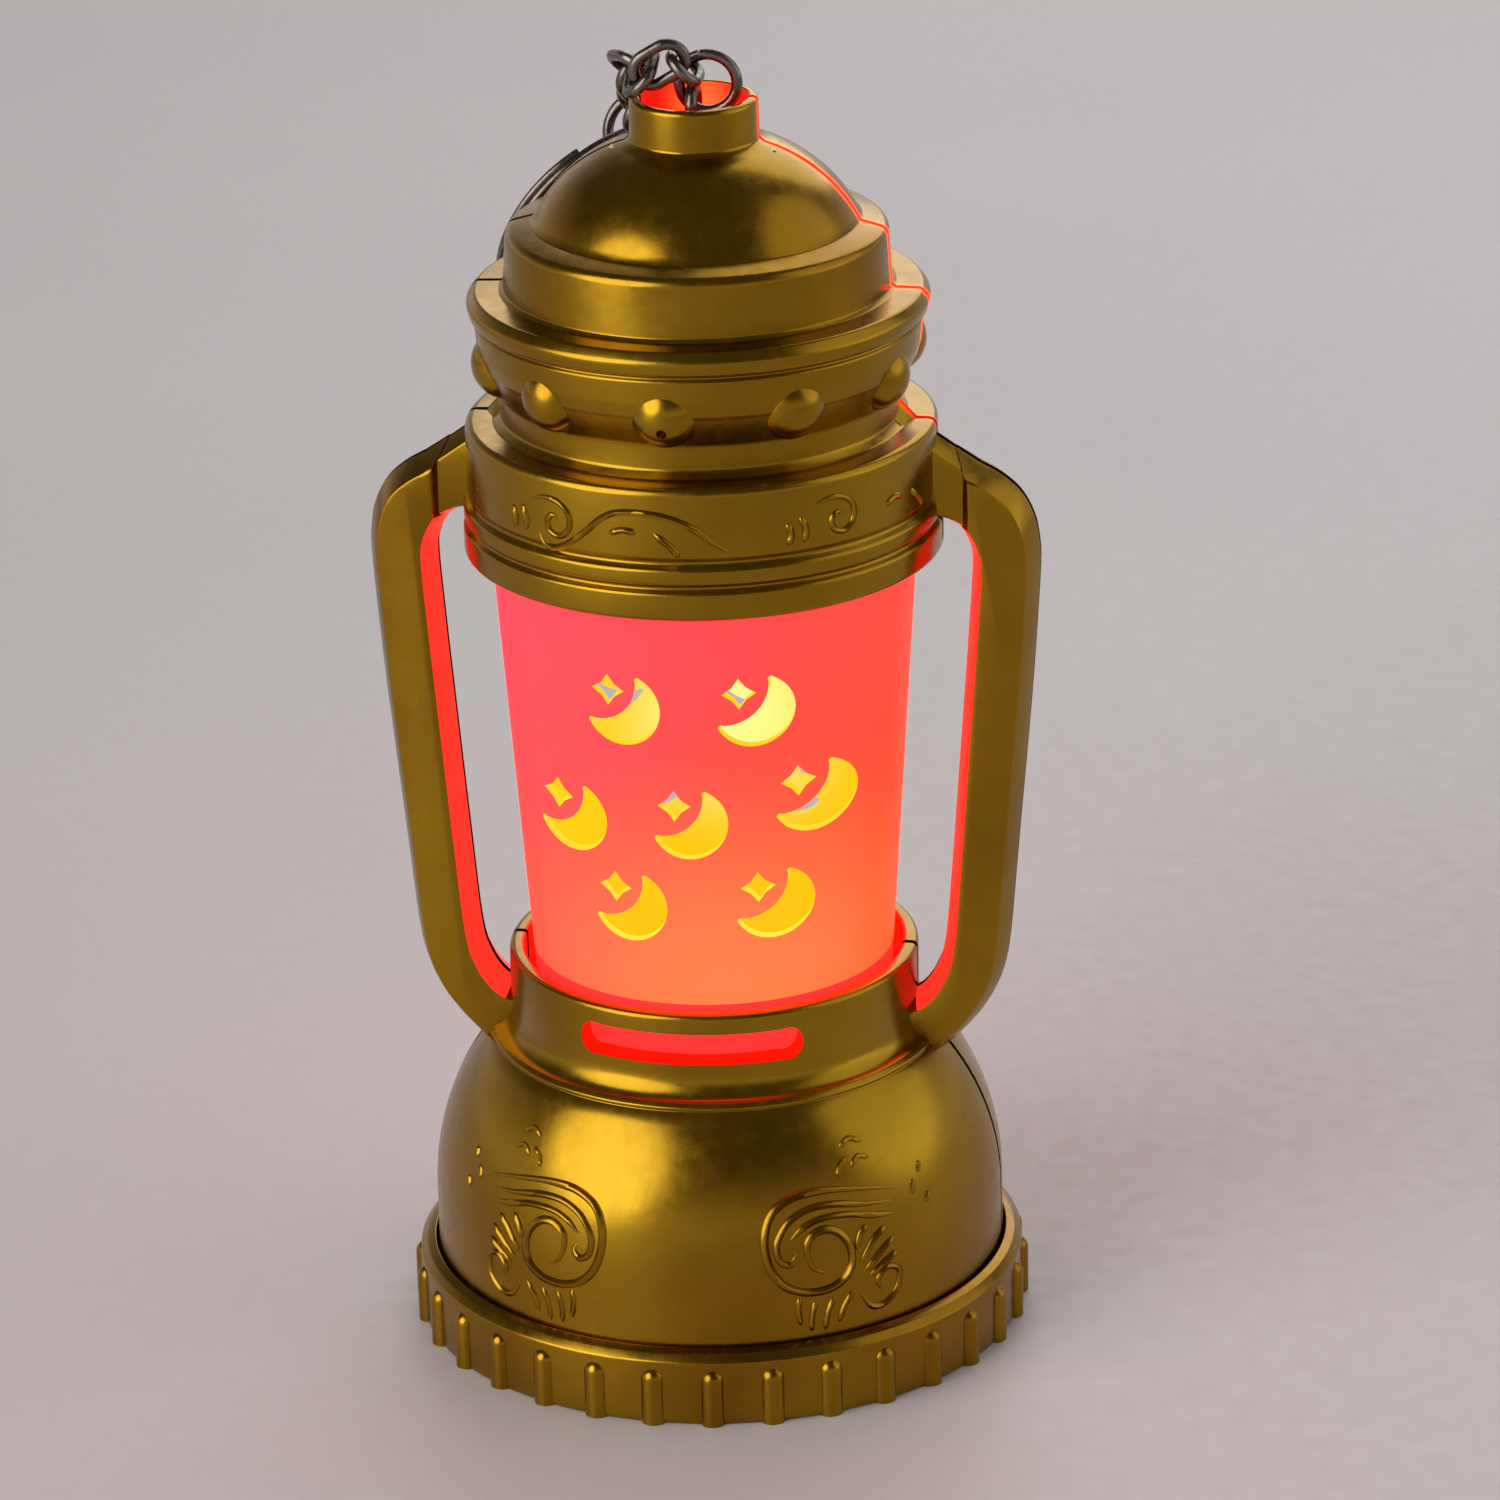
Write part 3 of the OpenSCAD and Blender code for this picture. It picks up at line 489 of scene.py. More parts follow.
def feed(node: Node, sockets: Sockets) -> Node:
    """Sets or links the sockets of a shader node.

    Args:
        node: Node to work on.
        sockets: A value for each socket, or an output that feeds it, or a node for its first live output.

    Returns:
        The same node.
    """
    for name, value in sockets.items():
        if isinstance(value, Node):
            value = next(output for output in value.outputs if output.enabled)
        if isinstance(value, bpy.types.NodeSocket):
            node.id_data.links.new(value, node.inputs[name])
        else:
            node.inputs[name].default_value = value
    return node


def put(tree: Tree, kind: str, place: Pair, sockets: Sockets | None = None, **settings: object) -> Node:
    """Adds a shader node.

    Args:
        tree: Nodes that it joins.
        kind: Its type, without ShaderNode.
        place: Where it stands in the editor.
        sockets: What its sockets get, as in feed.
        settings: Its other settings.

    Returns:
        The node.
    """
    node = tree.nodes.new(f"ShaderNode{kind}")
    node.location = place
    for name, value in settings.items():
        setattr(node, name, value)
    return feed(node, sockets or {})


@dataclass(frozen=True)
class Finish:
    """A surface with slow patches of two colours, grain to a metre, and a fine uneven skin.

    Its roughness goes from smooth to rough with the skin's bumps, skin to a metre and depth metres high.
    """

    name: str
    colour: Colour
    second: Colour
    grain: float
    smooth: float = 0.3
    rough: float = 0.5
    skin: float = 2500
    depth: float = 0.00003

    def extras(self, tree: Tree, place: bpy.types.NodeSocket) -> Sockets:
        """What a kind of finish adds to the shader.

        Args:
            tree: Nodes of the material.
            place: Its Object coordinates.

        Returns:
            Sockets of the shader, as in feed.
        """
        return {}

    def make(self) -> Material:
        """Makes the material."""
        material = bpy.data.materials.new(self.name)
        material.use_nodes = True
        tree = material.node_tree
        place = put(tree, "TexCoord", (-1100, 0)).outputs["Object"]
        drift = put(tree, "TexNoise", (-850, 200), {"Vector": place, "Scale": self.grain, "Detail": 4})
        patches = put(tree, "ValToRGB", (-600, 200), {"Fac": drift})
        stops = ((0.35, self.colour), (0.7, self.second))
        for stop, (position, colour) in zip(patches.color_ramp.elements, stops):
            stop.position, stop.color = position, (*colour, 1)
        noise = put(tree, "TexNoise", (-850, -250), {"Vector": place, "Scale": self.skin, "Detail": 3})
        bump = put(tree, "Bump", (-350, -350), {"Height": noise, "Distance": self.depth, "Strength": 1})
        spread = put(tree, "MapRange", (-600, -100), {
            "Value": noise, "From Min": 0.3, "From Max": 0.75, "To Min": self.smooth, "To Max": self.rough})
        feed(tree.nodes["Principled BSDF"], {
            "Base Color": patches, "Roughness": spread, "Normal": bump, **self.extras(tree, place)})
        return material


@dataclass(frozen=True)
class Plated(Finish):
    """Bright metal, plated or bare."""

    def extras(self, tree: Tree, place: bpy.types.NodeSocket) -> Sockets:
        """Makes it metal."""
        return {"Metallic": 1}


@dataclass(frozen=True)
class Washed(Plated):
    """Plating that light from the tube washes over, or leaks past at the parting line.

    If reach isn't 0, the light fades out at that many metres from the parting line, and starts and is
    full at the two values of side, towards the right, and of lift, upwards.
    """

    glow: Colour = (1, 0.04, 0.03)
    power: float = 1
    reach: float = 0
    side: Pair = (0.003, 0.009)
    lift: Pair = (0.083, 0.088)

    def extras(self, tree: Tree, place: bpy.types.NodeSocket) -> Sockets:
        """Makes it metal with a wash of light, with the arguments and the result of Finish.extras."""
        light = (*self.glow, 1)
        if self.reach:
            parts = put(tree, "SeparateXYZ", (-900, -700), {"Vector": place}).outputs
            apart = put(tree, "Math", (-700, -650), {0: parts["Y"]}, operation="ABSOLUTE")
            near, right, above = (
                put(tree, "MapRange", (-500, y), {"Value": value, "From Min": start, "From Max": full},
                    interpolation_type=blend)
                for y, value, (start, full), blend in ((-650, apart, (self.reach, 0), "SMOOTHSTEP"),
                                                       (-950, parts["X"], self.side, "SMOOTHSTEP"),
                                                       (-1250, parts["Z"], self.lift, "LINEAR")))
            beside = put(tree, "Math", (-300, -950), {0: right, 1: above}, operation="MULTIPLY")
            share = put(tree, "Math", (-300, -700), {0: near, 1: beside}, operation="MULTIPLY")
            light = put(tree, "Mix", (-150, -700), data_type="RGBA")
            feed(light, {"Factor": share, "A": (0, 0, 0, 1), "B": (*self.glow, 1)})
        return {"Metallic": 1, "Emission Color": light, "Emission Strength": self.power}


@dataclass(frozen=True)
class Moulded(Finish):
    """Moulded plastic, lacquer or rubber, with the share of light that passes through it."""

    clear: float = 0

    def extras(self, tree: Tree, place: bpy.types.NodeSocket) -> Sockets:
        """Lets light through."""
        return {"Transmission Weight": self.clear}


@dataclass(frozen=True)
class Lit(Finish):
    """Plastic that the lamp inside shines through, with a drift between two colours round a bright heart."""

    smooth: float = field(default=0.42, init=False)
    rough: float = field(default=0.55, init=False)
    skin: float = field(default=1500, init=False)
    depth: float = field(default=0.00002, init=False)
    glow: Colour = (1, 0.026, 0.042)
    far_glow: Colour = (1, 0.032, 0.003)
    heart: Colour = (1, 0.1, 0.028)
    heart_place: Corner = (0.003, -0.012, 0.036)
    heart_reach: float = 0.026
    drift_from: Corner = (-0.016, 0, 0.07)
    drift_to: Corner = (0.016, 0, 0.04)
    strength: float = 2.3

    def extras(self, tree: Tree, place: bpy.types.NodeSocket) -> Sockets:
        """Makes it glow, with the arguments and the result of Finish.extras."""
        start, way = Vector(self.drift_from), Vector(self.drift_to) - Vector(self.drift_from)
        along = put(tree, "VectorMath", (-850, -600), {0: place, 1: way / way.length_squared},
                    operation="DOT_PRODUCT")
        low = start.dot(way) / way.length_squared
        drift = put(tree, "MapRange", (-600, -600), {"Value": along, "From Min": low, "From Max": low + 1})
        blend = put(tree, "Mix", (-350, -600), data_type="RGBA")
        feed(blend, {"Factor": drift, "A": (*self.glow, 1), "B": (*self.far_glow, 1)})
        apart = put(tree, "VectorMath", (-850, -850), {0: place, 1: self.heart_place}, operation="DISTANCE")
        near = put(tree, "MapRange", (-600, -850), interpolation_type="SMOOTHSTEP")
        feed(near, {"Value": apart, "From Min": self.heart_reach, "From Max": 0})
        light = put(tree, "Mix", (-150, -700), data_type="RGBA")
        feed(light, {"Factor": near, "A": blend, "B": (*self.heart, 1)})
        return {"Specular IOR Level": 0.2, "Emission Color": light, "Emission Strength": self.strength}


GOLD = Washed("gold plating", (0.37, 0.215, 0.013), (0.29, 0.145, 0.01), 55, 0.2, 0.3, 700, 0.000012,
              (1, 0.024, 0.006), 2.6, 0.0012)
LIT_GOLD = Washed("lit plating", (0.2, 0.05, 0.01), (0.16, 0.04, 0.008), 55, 0.35, 0.45, 700, 0.000012,
                  (1, 0.035, 0.02), 1)
# Plating for the slot walls and the neck's inside: a darker, red-tinted base with a painted red glow that
# stands for the tube's light.
PAINTED_GLOW_GOLD = Washed("plating with painted tube glow", (0.2, 0.03, 0.006), (0.16, 0.025, 0.005), 55, 0.35, 0.45, 700, 0.000012,
                   (0.8, 0.006, 0.001), 0.9)
CAP_GOLD = Plated("cap gold", (0.36, 0.2, 0.013), (0.27, 0.13, 0.01), 70, 0.19, 0.3, 700, 0.000012)
NICKEL = Plated("nickel chain", (0.22, 0.19, 0.16), (0.12, 0.1, 0.085), 400, 0.18, 0.34, 3000, 0.00001)
SCREW_STEEL = Plated("screw steel", (0.45, 0.45, 0.46), (0.32, 0.31, 0.31), 600, 0.2, 0.4, 4000, 0.00001)
CONTACT_STEEL = Plated("contact steel", (0.6, 0.58, 0.52), (0.45, 0.42, 0.36), 300, 0.2, 0.35, 2500, 0.00001)
CELL_STEEL = Plated("cell steel", (0.62, 0.62, 0.62), (0.5, 0.5, 0.51), 250, 0.22, 0.34, 5000, 0.000008)
FRAME_STEEL = Plated("switch frame", (0.5, 0.5, 0.5), (0.36, 0.35, 0.35), 500, 0.25, 0.42, 4000, 0.00001)
COLLAR = Lit("lit collar", (0.2, 0.01, 0.005), (0.15, 0.008, 0.004), 200, (0.4, 0.003, 0.001),
             (0.4, 0.003, 0.001), (1, 0.09, 0.02), (0, 0.0046, 0.1112), 0.0042, strength=2)
SEAM = Lit("glowing seam", (0.3, 0.02, 0.01), (0.25, 0.01, 0.005), 200, (0.16, 0.002, 0.001),
           (0.7, 0.012, 0.005), (1, 0.028, 0.012), (0.014, 0, 0.1), 0.035,
           (-0.012, 0, 0.06), (0.012, 0, 0.06), 3)
MILK = Lit("milky plastic", (0.25, 0.02, 0.02), (0.22, 0.018, 0.016), 120)
FOOT_MILK = Lit("milky foot", (0.2, 0.01, 0.012), (0.18, 0.01, 0.01), 120, (1, 0.02, 0.034), (1, 0.02, 0.01),
                (1, 0.026, 0.024), strength=1.5)
INNER_MILK = Lit("lit inside", (0.4, 0.2, 0.01), (0.35, 0.18, 0.01), 150, (1, 0.58, 0.008), (1, 0.5, 0.008),
                 (1, 0.95, 0.3), (0, 0.0165, 0.051), 0.014, strength=0.98)
CUT_MILK = Lit("cut edge", (0.4, 0.2, 0.02), (0.35, 0.16, 0.02), 200, (1, 0.6, 0.02), (1, 0.52, 0.01),
               (1, 0.75, 0.05), strength=0.98)
BLACK = Moulded("black plastic", (0.025, 0.025, 0.027), (0.04, 0.04, 0.043), 300)
BOARD = Moulded("board lacquer", (0.012, 0.1, 0.04), (0.01, 0.07, 0.03), 250, 0.25, 0.4)
LENS = Moulded("clear lens", (0.95, 0.9, 0.9), (0.9, 0.85, 0.85), 200, 0.05, 0.1, 1500, 0.000005, 0.9)
CHIP = Moulded("resistor body", (0.05, 0.035, 0.03), (0.08, 0.05, 0.04), 800)
RED_SLEEVE = Moulded("red sleeve", (0.5, 0.02, 0.015), (0.4, 0.015, 0.012), 500)
BLACK_SLEEVE = Moulded("black sleeve", (0.02, 0.02, 0.02), (0.035, 0.035, 0.035), 500)
FLOOR = Moulded("pale floor", (0.62, 0.58, 0.57), (0.58, 0.545, 0.535), 6, 0.45, 0.6, 400, 0.00002)
SHELL_FINISHES = (GOLD, SEAM, LIT_GOLD, PAINTED_GLOW_GOLD, COLLAR)
SHELL_MATERIALS = tuple(finish.make() for finish in SHELL_FINISHES)


@dataclass
class Body:
    """The two plated shells with handles, shoulder, bell, brim, dome and collar. Sizes in millimetres."""

    seat_z: float = 3.1
    bulb_r: float = 25.6
    bulb_side_z: float = 12
    bulb_arc_x: float = 3.1
    bulb_arc_r: float = 22.5
    bulb_arc_end: float = 40.4
    wall: float = 1.4
    neck_r: float = 18.3
    neck_top_z: float = 35.1
    handle_half: float = 3.5
    fairing_half: float = 2.6
    fairing_step: float = 0.06
    step_x: float = 23.3
    draft: float = 1.1
    rim: float = 0.3
    slot_z: float = 31.9
    slot_half: float = 1.45
    slot_tilt: float = 0.35
    slot_turn: float = 28
    slot_reach: Pair = (15.5, 21)
    boss_count: int = 10
    boss_turn: float = -2
    boss_ball: float = 3.2
    boss_reach: float = 16.75
    boss_back: float = 16.9
    boss_z: float = 90.2
    pin_drop: float = 1.2
    pin_r: float = 0.45
    eye_bore_r: float = 0.7
    post_l: float = 9
    post_r: float = 2.4
    roof_post_r: float = 2.3
    roof_post_y: float = 15.2
    roof_screws: Pair = (-6, 6)
    roof_screw_z: float = 86.56
    seam: float = 0.05
    chamfer: float = 0.3
    tube_mid_z: float = 52
    glow_z: float = 84
    collar_in_r: float = 4.7
    collar_in_z: float = 108
    board_z: float = 27.7
    neck_in_r: float = 17.4
    slot_zone: Pair = (17, 18.2)
    handle_zone: tuple[Pair, Pair] = ((18.4, 25.5), (29.5, 75.6))
    lit_facing: float = 0.35
    steps: int = 144

    def lower_outline(self) -> Line:
        """Wall of the bulb and the neck, up outside and down inside."""
        centre = (self.bulb_arc_x, self.bulb_side_z)
        outside = [(self.bulb_r, self.seat_z)] + arc(centre, self.bulb_arc_r, 0, self.bulb_arc_end, 14)
        outside += soften([(20.2, 26.58, 0), (19.95, 26.75, 0.1), (20.05, 27.05, 0.2), (19.6, 27.4, 0.25),
                           (19.2, 27.55, 0)])[1:]
        outside += bow((19.2, 27.55), (18.3, 30), -0.14, 6)[1:]
        outside += soften([(18.3, 30, 0), (18.3, 35.1, 0.55), (16.9, 35.1, 0.35), (16.9, 27.7, 0)], 6)[1:]
        board = [(13.6, 27.7), (13.6, 26.6), (15.3, 26.6), (15.3, 25.4), (13.6, 25.4), (13.6, 24.4)]
        inside = arc(centre, self.bulb_arc_r - self.wall, 35, 0, 10)
        return outside + board + inside + [(self.bulb_r - self.wall, self.seat_z)]

    def upper_outline(self) -> Line:
        """Wall from the lip to the collar, up outside and down inside."""
        outside = soften([
            (19.2, 72.6, 0), (21, 72.6, 0.55), (21, 75.1, 0.4), (20.3, 75.55, 0.25), (20.95, 76, 0.45),
            (20.95, 77.2, 0.45), (20.25, 77.7, 0.3), (20.6, 78.3, 0.3), (20.6, 84.4, 0.75), (18.1, 84.4, 0.35),
            (17.4, 85, 0.5), (17.4, 87.2, 1.5), (18.75, 89.9, 0.8), (18.95, 90.25, 0.25),
            (19.3, 91.4, 1), (19.5, 93.5, 0.3), (19.15, 93.85, 0.15), (19.9, 94.2, 0.4),
            (20.15, 95.3, 0.7), (19.4, 96.15, 0.5), (17.2, 96.2, 0.2), (16.85, 96.5, 0.2),
            (16.55, 101.5, 0.9), (14.35, 102.1, 0.15), (14.2, 102.2, 0)], 5)
        outside += bow((14.2, 102.2), (6.1, 109), 0.1, 16)[1:]
        outside += soften([(6.1, 109, 0), (5.6, 109.4, 0.35), (5.55, 113, 0.65), (4.62, 113, 0.3),
                           (4.62, 107.9, 0)], 6)[1:]
        dome = bow((12.6, 101.9), (5.4, 107.6), 0.1, 8)[::-1]
        inside = [(15.1, 100.4), (15.2, 96.4), (17.7, 93.9), (17.7, 90.3), (16, 88), (16, 83),
                  (19.2, 83), (19.2, 77.34), (16.9, 77.34), (16.9, 76.34), (19.2, 76.34)]
        return outside + dome + inside

    def handle_outer(self) -> Line:
        """Outer edge of a handle from its root on the drum to its root on the bulb."""
        return flow([(17, 86.6), (18.3, 85.2), (19.6, 83.9), (21.7, 82.4), (23.9, 80.9), (26.2, 79.6),
                     (28, 78), (29.15, 75.8), (29.6, 73.5), (29.66, 71), (29.25, 64.5), (28.75, 58),
                     (27.5, 44.2), (26.8, 36.4), (26.2, 33), (25, 30.2), (23.4, 27.9), (21.6, 25.9)], 4)

    def handle_inner(self) -> Line:
        """Inner edge of a handle from the bottom up."""
        return flow([(17, 30.8), (17.8, 30.8), (18.9, 31.5), (20, 33.2), (20.8, 36), (21.5, 44),
                     (22.6, 58.3), (23.1, 65), (23.5, 71.2), (23.3, 73), (22.6, 74.4), (21.5, 75.2),
                     (20.4, 75.3), (19.6, 74.9)], 4)

    def handle(self, side: int) -> Thing:
        """One handle with the fairing that carries it to the shoulder.

        Args:
            side: 1 for the right handle and -1 for the left one.

        Returns:
            The solid, through both shells.
        """
        outer, inner = self.handle_outer(), self.handle_inner()
        edge, step = self.step_x - self.draft, self.fairing_step
        arm = [(edge, 75), (edge, 82.06)] + [(x, z) for x, z in outer if x > 24 or z < 60]
        arm += [(20.7, 25), (15.5, 25), (15.5, 30.8)]
        arm += [(x, z) for x, z in inner if x > edge + 0.5 or z < 60]
        root = [(15, 86.8), (17, 86.5)] + [(x, z - step) for x, z in outer if 17.6 < x < 25 and z > 60]
        root += [(25.6, 79.9), (25.6, 73)] + [(x, z + step) for x, z in inner if 20.3 < x < 21.9 and z > 74]
        root += [(15.5, 73)]
        grip, fairing = (self.drafted([(side * x, z) for x, z in outline], half)
                         for outline, half in ((arm, self.handle_half), (root, self.fairing_half)))
        spaces = ((grip, 17.5, 20, 36), (fairing, 16.6, 80, 90), (fairing, 19.6, 70, 83.2))
        for piece, radius, low, high in spaces:
            work(piece, Join.CUT, rod("space", radius, (0, 0, low), (0, 0, high), 96))
        work(grip, Join.ADD, fairing)
        return grip

    def drafted(self, outline: Line, half: float) -> Thing:
        """Part of a handle, broadest at the parting line and drawn in towards its front and back.

        Args:
            outline: Its outline at the parting line.
            half: Half its depth.

        Returns:
            The solid, through both shells.
        """
        inset = self.draft * (half / self.handle_half)
        front = draw("drafted", [(x, 0, z) for x, z in outline], closed=True)
        with editing(front):
            bpy.ops.mesh.edge_face_add()
        if front.data.polygons[0].normal.y > 0:
            with editing(front):
                bpy.ops.mesh.flip_normals()
        with editing(front, "FACE"):
            bpy.ops.mesh.inset(thickness=inset * MM, depth=half * MM, use_even_offset=True)
        pick(front, lambda face: face.normal.y < -0.99)
        round_rim(front, self.rim)
        whole = join(front, copy(front, Matrix.Scale(-1, 4, (0, 1, 0))))
        with editing(whole):
            merge(turn_out=False)
        return whole

    def slot(self, turn: float) -> Thing:
        """Cutter for one long slot in the neck, with round ends and a floor that falls outwards.

        Args:
            turn: Where its middle is, in degrees round the axis.

        Returns:
            The cutter.
        """
        middle = [(r, self.slot_z + self.slot_tilt * (self.neck_r - r)) for r in self.slot_reach]
        outline = [(r, z - self.slot_half) for r, z in middle]
        outline += [(r, z + self.slot_half) for r, z in middle[::-1]]
        cutter = lathe("slot", outline, 24, turn - self.slot_turn, 2 * self.slot_turn)
        for end in (-1, 1):
            near, far = (about_z(turn + end * self.slot_turn) @ Vector((r, 0, z)) for r, z in middle)
            work(cutter, Join.ADD, rod("slot end", self.slot_half, near, far))
        return cutter

    def bosses(self) -> Thing:
        """Ring of round bosses, each the cap of a ball."""
        ball = new("boss", bpy.ops.mesh.primitive_uv_sphere_add, segments=40, ring_count=28,
                   radius=self.boss_ball * MM, location=(self.boss_reach * MM, 0, self.boss_z * MM),
                   rotation=(0, pi / 2, 0))
        with editing(ball):
            bpy.ops.mesh.bisect(plane_co=(self.boss_back * MM, 0, 0), plane_no=(1, 0, 0), use_fill=True,
                                clear_inner=True)
        start, count = self.boss_turn - 90, self.boss_count
        return ring_of(ball, [start + i * 360 / count for i in range(count)])

    def feet(self, low: float) -> list[tuple[Vector, Vector]]:
        """Both ends of each post or bore for the cap's screws, from a height up."""
        ends = (Vector((BASE_SCREW_R, 0, low)), Vector((BASE_SCREW_R, 0, low + self.post_l)))
        return [tuple(about_z(turn) @ end for end in ends) for turn in BASE_SCREW_TURNS]

    def posts(self) -> Thing:
        """Screw posts in the bulb and behind the drum, and the bridge that holds the eye pin."""
        bridge = prism("bridge", box(-7.2, 7.2, 107.05, 108.65), -1.6, 1.6, 0.25)
        ends = [(self.post_r, low, high) for low, high in self.feet(self.seat_z)]
        ends += [(self.roof_post_r, (x, -self.roof_post_y, self.roof_screw_z),
                  (x, self.roof_post_y, self.roof_screw_z)) for x in self.roof_screws]
        work(bridge, Join.ADD, *[rod("post", radius, low, high) for radius, low, high in ends])
        return bridge

    def bore(self, body: Thing) -> None:
        """Cuts the slots, the pin hole and the screw holes."""
        way = about_z(self.boss_turn) @ Vector((0, -1, 0))
        level = Vector((0, 0, self.boss_z - self.pin_drop))
        ends = [(self.pin_r, 24, way * 14 + level, way * 22 + level),
                (self.eye_bore_r, 24, (0, 0, 106), (0, 0, 109.5))]
        ends += [(1, 24, low, high) for low, high in self.feet(2)]
        for x in self.roof_screws:
            ends += [(radius, sides, (x, start, self.roof_screw_z), (x, end, self.roof_screw_z))
                     for radius, sides, start, end in ((0.8, 24, -6, 7), (1.9, 32, 6, 22))]
        work(body, Join.CUT, self.slot(-90), self.slot(90),
             *[rod("bore", radius, low, high, sides) for radius, sides, low, high in ends])

    def finish_of(self, face: bpy.types.MeshPolygon) -> int:
        """Picks the finish of a face.

        Args:
            face: Face of one half.

        Returns:
            Its place in SHELL_FINISHES.
        """
        place, reach = face.center / MM, face.center.xy.length / MM
        towards = (Vector((0, 0, self.tube_mid_z)) - place).normalized()
        if place.z > self.collar_in_z and reach < self.collar_in_r:
            return SHELL_FINISHES.index(COLLAR)
        if abs(place.y) < self.seam + self.chamfer and place.z > self.glow_z:
            return SHELL_FINISHES.index(SEAM)
        near, far = self.slot_zone
        in_slot = near < reach < far and abs(place.z - self.slot_z) < self.slot_half + 2 * self.slot_tilt
        in_neck = reach < self.neck_in_r and self.board_z < place.z < self.neck_top_z + 0.01
        if in_slot or in_neck:
            # The slot walls and the neck's inside get plating with a painted red glow of the tube.
            return SHELL_FINISHES.index(PAINTED_GLOW_GOLD)
        (near, far), (low, high) = self.handle_zone
        on_handle = near < abs(place.x) < far and abs(place.y) < self.handle_half and low < place.z < high
        is_lit = on_handle and face.normal.dot(towards) > self.lit_facing
        return SHELL_FINISHES.index(LIT_GOLD if is_lit else GOLD)

    def part(self, body: Thing, side: Side) -> Thing:
        """Cuts one half out of the whole body and chamfers its parting edge.

        Args:
            body: The whole body.
            side: Which half.

        Returns:
            The half in its finishes.
        """
        half = copy(body, Matrix.Identity(4))
        half.name = f"{side.name.lower()}_half"
        offset = (self.seam + self.chamfer) * side.value * MM
        with editing(half):
            bpy.ops.mesh.bisect(plane_co=(0, offset, 0), plane_no=(0, side.value, 0), use_fill=True,
                                clear_inner=True)
        pick(half, lambda face: abs(face.center.y - offset) < DOUBLES and abs(face.normal.y) > 0.99)
        with editing(half, "FACE", keep=True):
            bpy.ops.mesh.inset(thickness=self.chamfer * MM, depth=self.chamfer * MM, use_even_offset=False)
        coat(half, *SHELL_MATERIALS)
        for face in half.data.polygons:
            face.material_index = self.finish_of(face)
        shade(half)
        return half

    def build(self) -> None:
        """Builds both shells and dresses them over their nodes."""
        body = lathe("lower body", self.lower_outline(), self.steps)
        upper = lathe("upper body", self.upper_outline(), self.steps)
        work(upper, Join.ADD, self.bosses())
        work(body, Join.ADD, self.handle(-1), self.handle(1), upper, self.posts())
        self.bore(body)
        for side in Side:
            dress(self.part(body, side), BODY, "gold_shell", f"{side.name.lower()}_shell")
        bpy.data.objects.remove(body)


